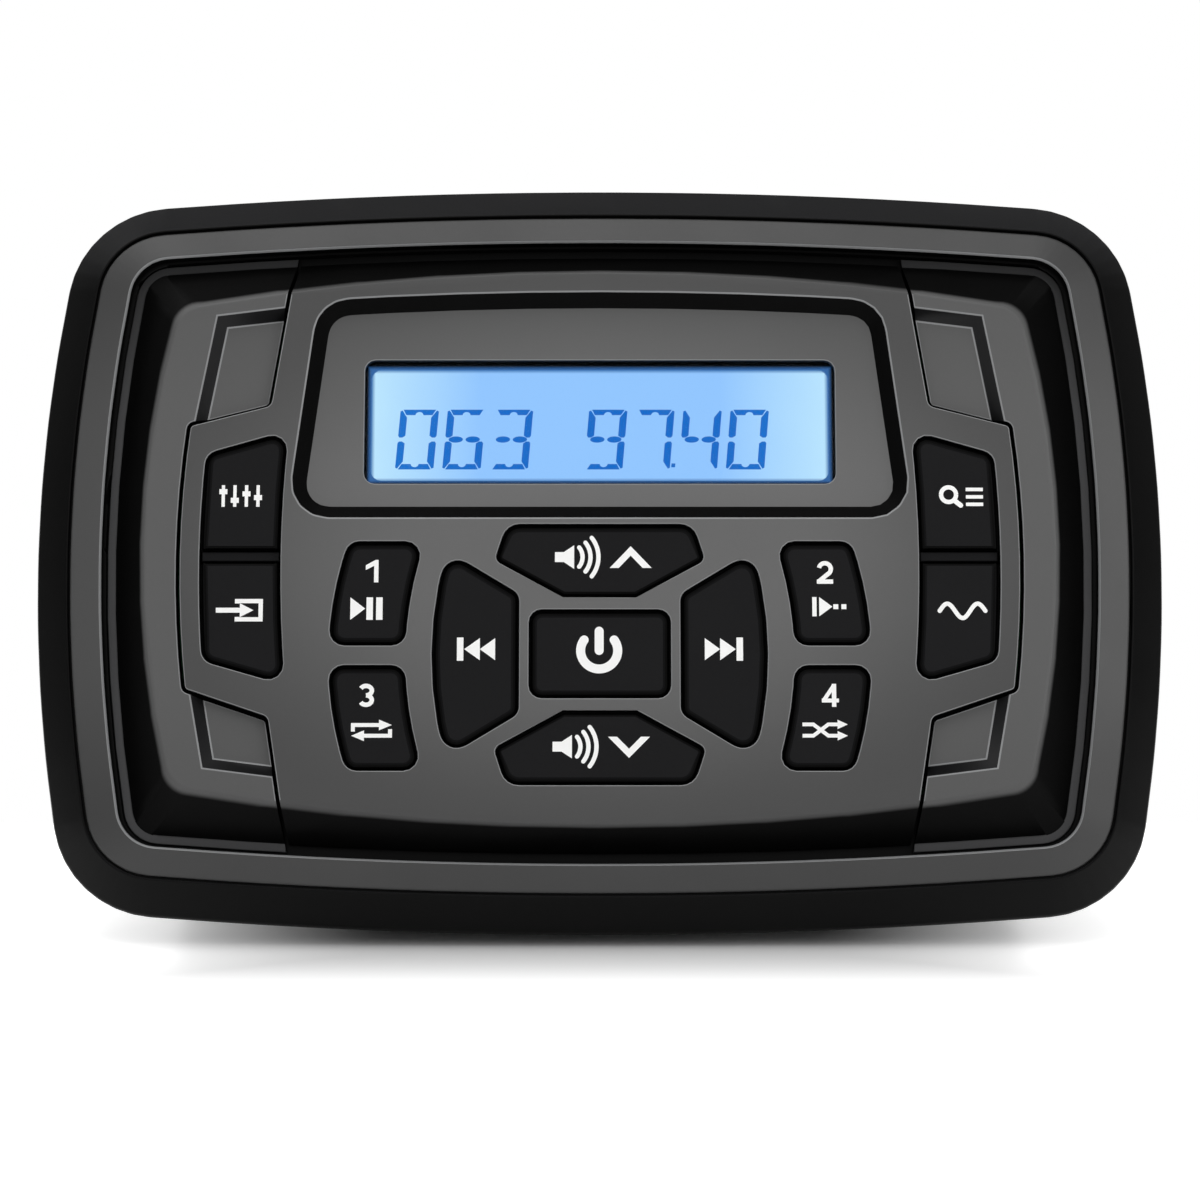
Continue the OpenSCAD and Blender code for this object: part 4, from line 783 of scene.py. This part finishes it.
class Stencil:
    """Flat shapes in millimetres that become one thin printed piece."""

    def __init__(self) -> None:
        """Start with an empty sheet."""
        self.loops: list[Loop] = []

    def polygon(self, points: Loop) -> None:
        """Add one closed shape."""
        self.loops.append(points)

    def bar(self, x0: float, y0: float, x1: float, y1: float) -> None:
        """Add an upright rectangle."""
        self.polygon([(x0, y0), (x1, y0), (x1, y1), (x0, y1)])

    @staticmethod
    def arc(centre: Point, radius: float, start: float, end: float, steps: int = 20) -> Loop:
        """Give the points along an arc, from one angle in degrees to another."""
        angles = [math.radians(start + (end - start) * i / steps) for i in range(steps + 1)]
        return [(centre[0] + radius * math.cos(a), centre[1] + radius * math.sin(a)) for a in angles]

    def ribbon(self, points: Loop, width: float, round_ends: bool = False) -> None:
        """Add a line of even width with mitred corners.

        Args:
            points: points along the line's middle.
            width: width of the line.
            round_ends: whether both ends are half discs.
        """
        half, least_mitre, end_steps = width / 2, 0.3, 10
        ways = [Vector((b[0] - a[0], b[1] - a[1])) for a, b in zip(points, points[1:])]
        sides = [Vector((-way.y, way.x)).normalized() for way in ways]
        left, right = [], []
        for (x, y), n0, n1 in zip(points, [sides[0], *sides], [*sides, sides[-1]]):
            mitre = (n0 + n1) / max(least_mitre, 1 + n0.dot(n1))
            left.append((x + mitre.x * half, y + mitre.y * half))
            right.append((x - mitre.x * half, y - mitre.y * half))
        end, start = [], []
        if round_ends:
            a, b = (math.degrees(math.atan2(way.y, way.x)) for way in (ways[-1], ways[0]))
            end = self.arc(points[-1], half, a + 90, a - 90, end_steps)[1:-1]
            start = self.arc(points[0], half, b - 90, b - 270, end_steps)[1:-1]
        self.polygon(left + end + right[::-1] + start)

    def draw(self, mark: Mark) -> None:
        """Draw a mark and move its shapes to their place.

        Args:
            mark: sign or numeral to draw.
        """
        first = len(self.loops)
        shape = self.sign if isinstance(mark.what, Sign) else self.numeral
        shape(mark.what, mark.width / 2, mark.height / 2)
        x0, y0 = mark.centre
        self.loops[first:] = [[(x + x0, y + y0) for x, y in loop] for loop in self.loops[first:]]

    def numeral(self, figure: str, w: float, h: float) -> None:
        """Add a bold numeral from 1 to 4 round the sheet's middle, in shares of its half sizes and its line.

        Args:
            figure: which numeral.
            w: half its width.
            h: half its height.
        """
        line = 0.38 * h
        if figure == "1":
            self.polygon([(w, h), (w - 0.7 * line, h), (-w, 0.52 * h), (-w, 0.1 * h), (w - line, 0.48 * h),
                          (w - line, -h), (w, -h)])
        elif figure == "2":
            bowl = w - line / 2
            foot = (line / 2 - w + 0.05, line / 2 - h + 0.1)
            self.ribbon([*self.arc((0, h - line / 2 - bowl), bowl, 168, -38), foot], line)
            self.bar(-w, -h, w, line - h)
        elif figure == "3":
            radius = 0.5 * h - line / 4
            for middle, start, end in ((radius, 152, -90), (-radius, 90, -152)):
                run = self.arc((0, middle), radius, start, end)
                self.ribbon([(x * (w - line / 2) / radius, y) for x, y in run], line)
        elif figure == "4":
            post, sill = 0.18 * w, -0.62 * h
            self.bar(post, -h, post + line, h)
            self.bar(-w, sill, w, sill + 0.9 * line)
            self.ribbon([(post + line / 2, h - line / 3), (-w + 0.45 * line, sill + line / 2)], 0.9 * line)

    def sign(self, kind: Sign, w: float, h: float) -> None:
        """Add a pictogram round the sheet's middle, in shares of its half sizes and its line.

        Args:
            kind: which sign.
            w: half its width.
            h: half its height.
        """
        line = 0.66
        if kind is Sign.PLAY_PAUSE:
            self.polygon([(-w, -h), (-0.08 * w, 0), (-w, h)])
            self.bar(0.0, -h, 0.4 * w, h)
            self.bar(0.6 * w, -h, w, h)
        elif kind in (Sign.PREVIOUS, Sign.NEXT):
            s = w if kind is Sign.NEXT else -w
            self.bar(min(0.66 * s, s), -h, max(0.66 * s, s), h)
            for a, b in ((-1.0, -0.2), (-0.2, 0.62)):
                self.polygon([(a * s, -0.95 * h), (b * s, 0), (a * s, 0.95 * h)])
        elif kind is Sign.POWER:
            stroke = 0.39 * w
            self.ribbon(self.arc((0, w - h), w - stroke / 2, 144, 396, 48), stroke, round_ends=True)
            self.ribbon([(0, h - stroke / 2), (0, -0.02 * h)], stroke, round_ends=True)
        elif kind in (Sign.RISE, Sign.FALL):
            s = h if kind is Sign.RISE else -h
            self.polygon([(-w, -s), (0, s), (w, -s), (0.57 * w, -s), (0, 0.14 * s), (-0.57 * w, -s)])
        elif kind is Sign.SPEAKER:
            self.polygon([(-w, -0.42 * h), (-0.62 * w, -0.42 * h), (-0.18 * w, -h), (-0.18 * w, h),
                          (-0.62 * w, 0.42 * h), (-w, 0.42 * h)])
            for reach in (0.68, 1.02, 1.36):
                self.ribbon(self.arc((-0.5 * w, 0), reach * w, -38, 38, 16), line, round_ends=True)
        elif kind is Sign.SLIDERS:
            for x, knob in ((-0.82, 0.4), (-0.27, -0.4), (0.28, 0.2), (0.83, -0.15)):
                self.bar(x * w - 0.25, -h, x * w + 0.25, h)
                self.bar(x * w - 0.62, knob * h - 0.4, x * w + 0.62, knob * h + 0.4)
        elif kind is Sign.SOURCE:
            left, right, top = -0.1 * w, w - line / 2, h - line / 2
            self.ribbon([(left, 0.6 * h), (left, top), (right, top), (right, -top), (left, -top),
                         (left, -0.6 * h)], line)
            self.bar(-w, -0.22 * h, 0.02 * w, 0.22 * h)
            self.polygon([(0.02 * w, -0.62 * h), (0.6 * w, 0), (0.02 * w, 0.62 * h)])
        elif kind is Sign.SEEK:
            x, y = -w + 0.85 * h, 0.15 * h
            for start in (0, 180):
                self.ribbon(self.arc((x, y), 0.85 * h - line / 2, start, start + 180), line)
            handle = [(x + 0.6 * h, y - 0.6 * h), (x + 1.05 * h, -h + line / 2)]
            self.ribbon(handle, 1.15 * line, round_ends=True)
            for row in (0.62, -0.05, -0.72):
                self.bar(0.22 * w, row * h - 0.27, w, row * h + 0.27)
        elif kind is Sign.WAVE:
            turns, steps = 1.5, 48
            self.ribbon([(w * (2 * i / steps - 1), 0.7 * h * math.sin(turns * math.tau * i / steps))
                         for i in range(steps + 1)], line, round_ends=True)
        elif kind is Sign.LOOP:
            for x, y in ((w, h), (-w, -h)):
                self.ribbon([(-0.9 * x, -0.12 * y), (-0.9 * x, 0.55 * y), (0.42 * x, 0.55 * y)], 0.9 * line)
                self.polygon([(0.36 * x, 0.0), (0.98 * x, 0.55 * y), (0.36 * x, 1.1 * y)])
        elif kind is Sign.SHUFFLE:
            for y in (0.6 * h, -0.6 * h):
                self.ribbon([(-w, -y), (-0.52 * w, -y), (0.14 * w, y), (0.6 * w, y)], 0.85 * line)
                self.polygon([(0.55 * w, y - 0.72), (w, y), (0.55 * w, y + 0.72)])
        elif kind is Sign.INTRO:
            self.bar(-w, -h, -w + line, h)
            self.polygon([(-0.6 * w, -h), (0.16 * w, 0), (-0.6 * w, h)])
            for x in (0.36, 0.83):
                self.bar(x * w - 0.38, -0.38, x * w + 0.38, 0.38)

    def piece(self, title: str, finish: Look, level: float, thick: float, rise: float = 0.002) -> Object:
        """Turn the sheet into thin prisms that face -Y.

        Args:
            title: name of the piece.
            finish: its finish.
            level: distance of the prisms' backs from the dashboard.
            thick: thickness of the print.
            rise: how much each shape is thicker than the one before, so that crossings stay clean.

        Returns:
            The new piece, in place.
        """
        bm = bmesh.new()
        for number, loop in enumerate(self.loops):
            back, front = ([bm.verts.new((x * MM, -z * MM, y * MM)) for x, y in loop]
                           for z in (level, level + thick + number * rise))
            bm.faces.new(front)
            bm.faces.new(back[::-1])
            for i in range(len(loop)):
                j = (i + 1) % len(loop)
                bm.faces.new((back[i], back[j], front[j], front[i]))
        bmesh.ops.recalc_face_normals(bm, faces=bm.faces[:])
        mesh = bpy.data.meshes.new(title)
        bm.to_mesh(mesh)
        bm.free()
        mesh.materials.append(FINISHES.get(finish))
        return linked(title, mesh)


@dataclass
class Front:
    """The fixed mouldings of the front: frame, ring, centre panel and cheeks.

    The pairs are the rounding between an outline's chords and the least length of those chords, and the
    values from flat to least_slope are the forward part of a face's normal.
    """

    groove: float = 6.4
    skirt_top: float = 6.7
    ring_top: float = 8.1
    face_top: float = 11.05
    pocket_floor: float = 9.55
    ledge: float = 5.4
    slope_z: float = 40.5
    well_floor: float = 9.05
    round_edge: float = 0.15
    frame_edge: float = 0.2
    ring_edge: float = 0.1
    side: Point = (3.0, 8.0)
    frame_corner: Point = (0.5, 1.5)
    ring_corner: Point = (0.3, 1.0)
    well_corner: Point = (0.45, 1.2)
    near_level: float = 0.2
    flat: float = 0.98
    nearly_flat: float = 0.9
    chamfer: float = 0.5
    hollow: float = 0.3
    ring_slope: float = 0.2
    least_slope: float = 0.1

    def outline(self, corner: Point, top: float) -> list[Edge]:
        """Give the rules that curve an outline: for the sides' long chords, then for its corners."""
        return [Edge(width, least_angle=angle, most_angle=30.0, low=0.0, high=top, least_side=chord,
                     run=Run.RISING) for (width, chord), angle in ((self.side, 0.6), (corner, 1.2))]

    def build(self) -> None:
        """Build and dress every fixed moulding."""
        self.frame()
        self.ring()
        self.panel()
        for side in ("left", "right"):
            self.cheek(side)

    def frame(self) -> None:
        """Build the black frame with its sloping skirt."""
        edges = [*self.outline(self.frame_corner, self.skirt_top),
                 Edge(self.frame_edge, low=self.groove, high=self.skirt_top)]
        Moulding("front_frame", "frame_moulding", "black_housing", edges, [Finishes.SKIRT]).build()

    def ring(self) -> None:
        """Build the clip-on ring: a painted highlight on its inner chamfer, painted shade on its inner wall."""
        edges = [*self.outline(self.ring_corner, self.ring_top),
                 Edge(self.ring_edge, low=self.groove, high=self.ring_top)]

        def pick(normal: Vector, centre: Vector) -> int:
            """Charcoal on top, a painted highlight on the inner chamfer and painted shade on the black walls.
            """
            if -normal.y > self.nearly_flat or (outward(normal, centre) and -normal.y > self.ring_slope):
                return 0
            return 1 if -normal.y > self.chamfer else 2

        Moulding("trim_ring", "ring_moulding", "charcoal_trim", edges,
                 [Finishes.RING, Finishes.BURNISH, Finishes.SLOPE], pick).build()

    def panel(self) -> None:
        """Build the centre panel: charcoal in front, painted shade in black in its well and openings, a painted
        highlight on its face's rounded edges.
        """
        width, chord = self.well_corner
        edges = [Edge(width, least_angle=5.0, most_angle=30.0, low=self.well_floor, high=self.face_top,
                      least_side=chord, run=Run.RISING),
                 Edge(self.round_edge, low=self.face_top, high=self.face_top, tag=2)]

        def pick(normal: Vector, centre: Vector) -> int:
            """Charcoal on the face and its outer slopes, painted shade in black elsewhere."""
            slope = abs(centre.z) > self.slope_z and outward(normal, centre) and -normal.y > self.least_slope
            return 0 if slope or -normal.y > self.flat else 1

        Moulding("face_panel", "centre_panel_moulding", "charcoal_trim", edges,
                 [Finishes.MASKED, Finishes.SLOPE, Finishes.BURNISH], pick).build()

    def cheek(self, side: str) -> None:
        """Build one cheek with its pockets and ledge.

        Args:
            side: "left" or "right".
        """
        edges = [Edge(self.round_edge, low=self.pocket_floor, high=self.face_top, run=Run.LEVEL, tag=2),
                 Edge(self.round_edge, low=self.ledge, high=self.ledge, tag=4)]

        def pick(normal: Vector, centre: Vector) -> int:
            """Charcoal on the face and pocket floors; painted shade on the ledge, the slopes and the pockets'
            walls.
            """
            ahead, level, out = -normal.y, -centre.y, outward(normal, centre)
            if ahead > self.flat and abs(level - self.pocket_floor) < self.near_level:
                return 3
            if ahead > self.nearly_flat and abs(level - self.ledge) < self.near_level:
                return 4
            if self.hollow < ahead < self.flat and level > self.pocket_floor and not out:
                return 5
            return 0 if ahead > self.flat or (out and ahead > self.least_slope) else 1

        Moulding(side + "_cheek", side + "_cheek_moulding", "charcoal_trim", edges,
                 [Finishes.CHEEK, Finishes.SLOPE, Finishes.BURNISH, Finishes.CHARCOAL, Finishes.LEDGE,
                  Finishes.POCKET], pick).build()


@dataclass
class Display:
    """Display plate and the reading on the film behind its window."""

    film_top: float = 5.95
    segment_gap: float = 0.02
    segment_thick: float = 0.04
    plate_top: float = 9.05
    plate_edge: float = 0.14
    plate_slack: float = 0.1
    plate_slope: float = 0.3
    cell_pitch: float = 7.37
    cell_left: float = -31.95
    cell_low: float = 12.8
    cell_w: float = 6.0
    cell_h: float = 9.55
    slant: float = 0.085
    stroke: float = 1.12
    cross: float = 0.86
    tip: float = 0.45
    heel: float = 0.95
    notch: Point = (0.62, 0.5)
    lens_gaps: Point = (0.55, 0.2)
    lens_half: float = 0.5
    dot_gap: float = 0.2
    dot_low: float = 0.35
    dot_side: float = 0.6
    reading: str = "063 9740"
    point_after: int = 5
    runs: dict[str, str] = field(default_factory=lambda: {
        "0": "abcdef", "3": "abgcd", "4": "fgbc", "6": "afgcde", "7": "abc", "9": "abcdfg"})

    def build(self) -> None:
        """Build and dress the display."""
        low, high = self.plate_top - self.plate_slack, self.plate_top + self.plate_slack
        # The plate's walls and slopes get painted shade in black, its rounded front edges a painted highlight.
        Moulding("display_plate", "display_plate_moulding", "charcoal_trim",
                 [Edge(self.plate_edge, low=low, high=high, tag=2)],
                 [Finishes.PLATE, Finishes.HOLDER, Finishes.BURNISH],
                 lambda normal, centre: 0 if -normal.y > self.plate_slope else 1).build()
        stencil = Stencil()
        for place, numeral in enumerate(self.reading):
            for run in self.runs.get(numeral, ""):
                self.segment(stencil, place, run)
            if place == self.point_after:
                self.dot(stencil, place)
        obj = stencil.piece("display_segments", Finishes.DYE, self.film_top + self.segment_gap,
                            self.segment_thick, rise=0.0)
        put(obj, "receiver", "display_glass")

    def lean(self, place: int, points: Loop) -> Loop:
        """Move a cell's points to their place and lean them."""
        left = self.cell_left + place * self.cell_pitch
        return [(left + x + self.slant * y, self.cell_low + y) for x, y in points]

    def dot(self, stencil: Stencil, place: int) -> None:
        """Draw the decimal point at the right of a cell."""
        x0, y0 = self.cell_w + self.dot_gap, self.dot_low
        x1, y1 = x0 + self.dot_side, y0 + self.dot_side
        stencil.polygon(self.lean(place, [(x0, y0), (x1, y0), (x1, y1), (x0, y1)]))

    def segment(self, stencil: Stencil, place: int, run: str) -> None:
        """Draw one run of a numeral.

        Args:
            stencil: sheet to draw on.
            place: number of the cell.
            run: letter of the run, from a at the top, clockwise, to g in the middle.
        """
        w, h, s, c = self.cell_w, self.cell_h, self.stroke, self.cross
        if run == "g":
            # Two lens shapes side by side.
            side, middle = self.lens_gaps
            turn = Stencil.arc((0.0, 0.0), 1.0, 0.0, 360.0)[:-1]
            for x0, x1 in ((side, w / 2 - middle), (w / 2 + middle, w - side)):
                lens = [((x0 + x1 + (x1 - x0) * x) / 2, h / 2 + self.lens_half * y) for x, y in turn]
                stencil.polygon(self.lean(place, lens))
            return
        if run in "ad":
            # A bar with slanting ends and a round notch in its inner side.
            notch = [(w / 2 + self.notch[0] * x, h - c + self.notch[1] * y)
                     for x, y in Stencil.arc((0.0, 0.0), 1.0, 180.0, 0.0, 8)]
            shape = [(self.tip, h), (self.heel, h - c), *notch, (w - self.heel, h - c), (w - self.tip, h)]
        else:
            # An upright with a cut top and a pointed foot.
            foot, ankle = h / 2 + 0.32, h / 2 + 0.62
            shape = [(0, h - 0.28), (0, ankle), (0.2, foot), (0.6 * s, foot), (s, ankle), (s, h - c - 0.42),
                     (0.3, h - 0.12)]
        if run in "bc":
            shape = [(w - x, y) for x, y in shape]
        if run in "cde":
            shape = [(x, h - y) for x, y in shape]
        stencil.polygon(self.lean(place, shape))


@dataclass
class KeyPad:
    """The thirteen rubber keys, their mat and their printed signs.

    The values flat and run_out are the forward part of a face's normal.
    """

    key_top: float = 10.65
    cap_low: float = 8.8
    rim: float = 0.5
    brow: float = 0.3
    flat: float = 0.9995
    run_out: float = 0.99
    ink: float = 0.03
    mat_edge: float = 0.2
    mat_bars: Point = (9.8, 10.1)
    marks: dict[str, list[Mark]] = field(default_factory=lambda: {
        "power_key": [Mark(Sign.POWER, (-0.1, -16.44), 7.05, 7.24)],
        "volume_up_key": [Mark(Sign.SPEAKER, (-3.3, -1.95), 7.2, 3.7),
                          Mark(Sign.RISE, (4.75, -1.95), 6.45, 3.4)],
        "volume_down_key": [Mark(Sign.SPEAKER, (-3.6, -31.35), 7.2, 3.6),
                            Mark(Sign.FALL, (4.45, -31.45), 6.4, 3.25)],
        "previous_key": [Mark(Sign.PREVIOUS, (-18.95, -16.3), 5.85, 3.6)],
        "next_key": [Mark(Sign.NEXT, (19.0, -16.3), 5.85, 3.6)],
        "key_1": [Mark("1", (-35.0, -4.15), 1.95, 3.5), Mark(Sign.PLAY_PAUSE, (-35.8, -10.0), 4.95, 3.5)],
        "key_2": [Mark("2", (34.6, -4.35), 2.5, 3.55), Mark(Sign.INTRO, (35.25, -9.7), 5.3, 3.0)],
        "key_3": [Mark("3", (-35.7, -23.45), 2.45, 3.6), Mark(Sign.LOOP, (-34.8, -28.85), 6.3, 3.0)],
        "key_4": [Mark("4", (35.2, -23.45), 2.6, 3.55), Mark(Sign.SHUFFLE, (34.35, -28.8), 6.9, 2.9)],
        "upper_left_key": [Mark(Sign.SLIDERS, (-55.45, 7.65), 6.5, 3.4)],
        "lower_left_key": [Mark(Sign.SOURCE, (-55.3, -10.25), 7.2, 3.5)],
        "upper_right_key": [Mark(Sign.SEEK, (55.75, 7.6), 6.8, 3.5)],
        "lower_right_key": [Mark(Sign.WAVE, (55.65, -10.35), 7.0, 3.2)]})

    def build(self) -> None:
        """Build every key, its print and the mat behind."""
        for key, marks in self.marks.items():
            self.key(key)
            self.print_on(key, marks)
        low, high = self.mat_bars
        Moulding("keypad_mat", "keypad_mat_moulding", "key_rubber", [Edge(self.mat_edge, low=low, high=high)],
                 [Finishes.KEY]).build()

    def key(self, node: str) -> None:
        """Build one soft-edged key on its own body.

        Args:
            node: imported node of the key.
        """
        # The brow comes first: after the rim its rounding would fold at the side keys' corners.
        edges = [Edge(self.brow, least_angle=8, most_angle=25, low=self.key_top, high=self.key_top),
                 Edge(self.rim, least_angle=60, low=self.cap_low, high=self.key_top, segments=3)]
        # Tops keep the key's colour; the run-out and the rounded edges get painted shade.
        Moulding(node, node + "_moulding", "key_rubber", edges,
                 [Finishes.KEY, Finishes.KEY_BROW, Finishes.KEY_RIM],
                 lambda normal, centre: 0 if -normal.y > self.flat else 1 if -normal.y > self.run_out else 2,
                 smooth=50, top=self.key_top).build()

    def print_on(self, node: str, marks: Sequence[Mark]) -> None:
        """Print a key's signs on its top.

        Args:
            node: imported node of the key.
            marks: what is printed.
        """
        stencil = Stencil()
        for mark in marks:
            stencil.draw(mark)
        obj = stencil.piece(node + "_print", Finishes.LEGEND, self.key_top, self.ink)
        put(obj, frame["nodes"][node]["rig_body"], "key_rubber")


@dataclass
class Rear:
    """What is behind the dashboard: sleeve, cover, heat sink, seal, socket and glands, with finish and slot."""

    round_edge: float = 0.3
    round_behind: float = -50.0
    least_edge: float = 0.6
    dressed: dict[str, tuple[Finish, str]] = field(default_factory=lambda: {
        "chassis": (Finishes.SHELL, "black_housing"), "rear_cover": (Finishes.SHELL, "black_housing"),
        "heat_sink": (Finishes.SINK, "sink_aluminium"), "panel_gasket": (Finishes.FOAM, "foam_seal"),
        "aerial_socket": (Finishes.PLATING, "socket_plating"), "supply_gland": (Finishes.GLAND, "gland_rubber"),
        "audio_gland": (Finishes.GLAND, "gland_rubber")})

    def build(self) -> None:
        """Build and dress every piece behind the dashboard."""
        rule = Edge(self.round_edge, least_angle=60, high=self.round_behind, least_length=self.least_edge)
        for node, (finish, slot) in self.dressed.items():
            Moulding(node, node + "_dressed", slot, [rule], [finish]).build()


@dataclass
class Inside:
    """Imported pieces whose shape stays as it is, by their finish."""

    pieces: dict[Look, tuple[str, ...]] = field(default_factory=lambda: {
        Finishes.LENS: ("display_lens",), Finishes.FILM: ("display_glass",), Finishes.LIP: ("display_holder",),
        Finishes.GUIDE: ("light_guide",), Finishes.GOLD: ("key_contacts",),
        Finishes.BOARD: ("front_board", "main_board"), Finishes.HEADER: ("board_connector",),
        Finishes.SCREW: ("front_board_screws", "chassis_screws", "rear_screws", "heat_sink_screws",
                         "main_board_screws", "amplifier_clamp", "clamp_screws"),
        Finishes.CHIP: ("amplifier_chip",), Finishes.SLEEVE: ("capacitors",), Finishes.WIRE: ("choke",),
        Finishes.PLATING: ("tuner_module",)})

    def build(self) -> None:
        """Give each kept piece its material."""
        for finish, nodes in self.pieces.items():
            for node in nodes:
                materials = frame["nodes"][node].data.materials
                materials.clear()
                materials.append(FINISHES.get(finish))
                LOG.info("dressed %s", node)


@dataclass(frozen=True)
class Lamp:
    """A soft lamp: its name, place, width and height, and its power in watts."""

    title: str
    place: Place
    size: Point
    power: float

    def hang(self) -> None:
        """Hang the lamp, aimed at the stereo."""
        data = bpy.data.lights.new(self.title, "AREA")
        data.shape = "RECTANGLE"
        data.size, data.size_y = (side * MM for side in self.size)
        data.energy = self.power
        obj = linked(self.title, data)
        obj.location = Vector(self.place) * MM
        obj.rotation_euler = (-obj.location).to_track_quat("-Z", "Y").to_euler()


@dataclass
class Studio:
    """Camera, soft lamps, white backdrop and the pale floor under the stereo.

    The ranges back and room are a ray's part along +Y, and room_light is the room's light over its range.
    """

    distance: float = 520.0
    below: float = 10.951
    focal_px: float = 3318.18
    frame_px: float = 1200.0
    sensor: float = 36.0
    nearest: float = 10.0
    aim: Place = (0.0, -1.4, 0.0)
    aim_px: Point = (599.8, 556.075)
    back: Point = (0.3, 0.75)
    room: Point = (-0.35, -1.0)
    room_light: Point = (0.12, 0.87)
    floor_front: Point = (-1.0, -61.0)
    floor_rear: Point = (58.0, -43.8)
    floor_half: float = 420.0
    floor_ends: Point = (-300.0, 110.0)
    # A wide lamp above in front and weak ones at the sides.
    lamps: tuple[Lamp, ...] = (
        Lamp("top_softbox", (-60.0, -340.0, 540.0), (620.0, 420.0), 2.3),
        Lamp("left_softbox", (-400.0, -60.0, 450.0), (200.0, 300.0), 0.4),
        Lamp("right_softbox", (480.0, -400.0, 100.0), (300.0, 420.0), 0.9))

    def build(self) -> None:
        """Set up the whole studio."""
        self.camera()
        self.world()
        for lamp in self.lamps:
            lamp.hang()
        self.floor()
        bpy.context.scene.view_settings.view_transform = "Standard"

    def camera(self) -> None:
        """Place the camera at the photograph's angle."""
        data = bpy.data.cameras.new("studio_camera")
        data.sensor_width = self.sensor
        data.lens = self.sensor * self.focal_px / self.frame_px
        data.clip_start = self.nearest * MM
        obj = linked("studio_camera", data)
        tilt = math.radians(self.below)
        away = Vector((0.0, -math.cos(tilt), -math.sin(tilt))) * self.distance
        obj.location = (Vector(self.aim) + away) * MM
        yaw, pitch = (math.atan((self.frame_px / 2 - px) / self.focal_px) for px in self.aim_px)
        obj.rotation_euler = (math.pi / 2 + tilt - pitch, 0.0, -yaw)
        bpy.context.scene.camera = obj

    def world(self) -> None:
        """Make a white backdrop behind the stereo and a dim room in front of it."""
        bpy.context.scene.world = bpy.data.worlds.new("studio")
        wired(bpy.context.scene.world, "OutputWorld", self.backdrop)

    def backdrop(self, add: Adder) -> Socket:
        """Add the nodes of the backdrop and the room.

        Args:
            add: adds a node to the world.

        Returns:
            The light.
        """
        towards = add("SeparateXYZ", {0: add("TexCoord")["Generated"]})["Y"]
        back, room = (add("MapRange", {
            "Value": towards, "From Min": start, "From Max": end, "To Min": low, "To Max": high}, **SOFT)[0]
            for (start, end), (low, high) in ((self.back, (0.0, 1.0)), (self.room, self.room_light)))
        level = add("Mix", {0: back, 2: room, 3: 1.0})[0]
        strength = add("Mix", {0: seen(add, back), 2: level, 3: 1.0})[0]
        return add("Background", {"Color": WHITE, "Strength": strength})[0]

    def floor(self) -> None:
        """Lay the pale floor under the stereo, which leans back on its sleeve."""
        mesh = bpy.data.meshes.new("studio_floor")
        (near, far), half = self.floor_ends, self.floor_half
        corners = ((-half, near), (half, near), (half, far), (-half, far))
        mesh.from_pydata([(x * MM, y * MM, 0.0) for x, y in corners], [], [(0, 1, 2, 3)])
        mesh.materials.append(FINISHES.get(Finishes.PAPER))
        obj = linked("studio_floor", mesh)
        obj.location = Vector((0.0, *self.floor_front)) * MM
        run, rise = (rear - front for rear, front in zip(self.floor_rear, self.floor_front))
        obj.rotation_euler = (math.atan2(rise, run), 0.0, 0.0)


def main() -> None:
    """Build the studio, then the stereo's pieces in order."""
    logging.basicConfig(level=logging.INFO, format="%(name)s: %(message)s")
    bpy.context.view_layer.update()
    for part in (Studio(), Front(), Display(), KeyPad(), Rear(), Inside()):
        part.build()


if __name__ == "__main__":
    main()
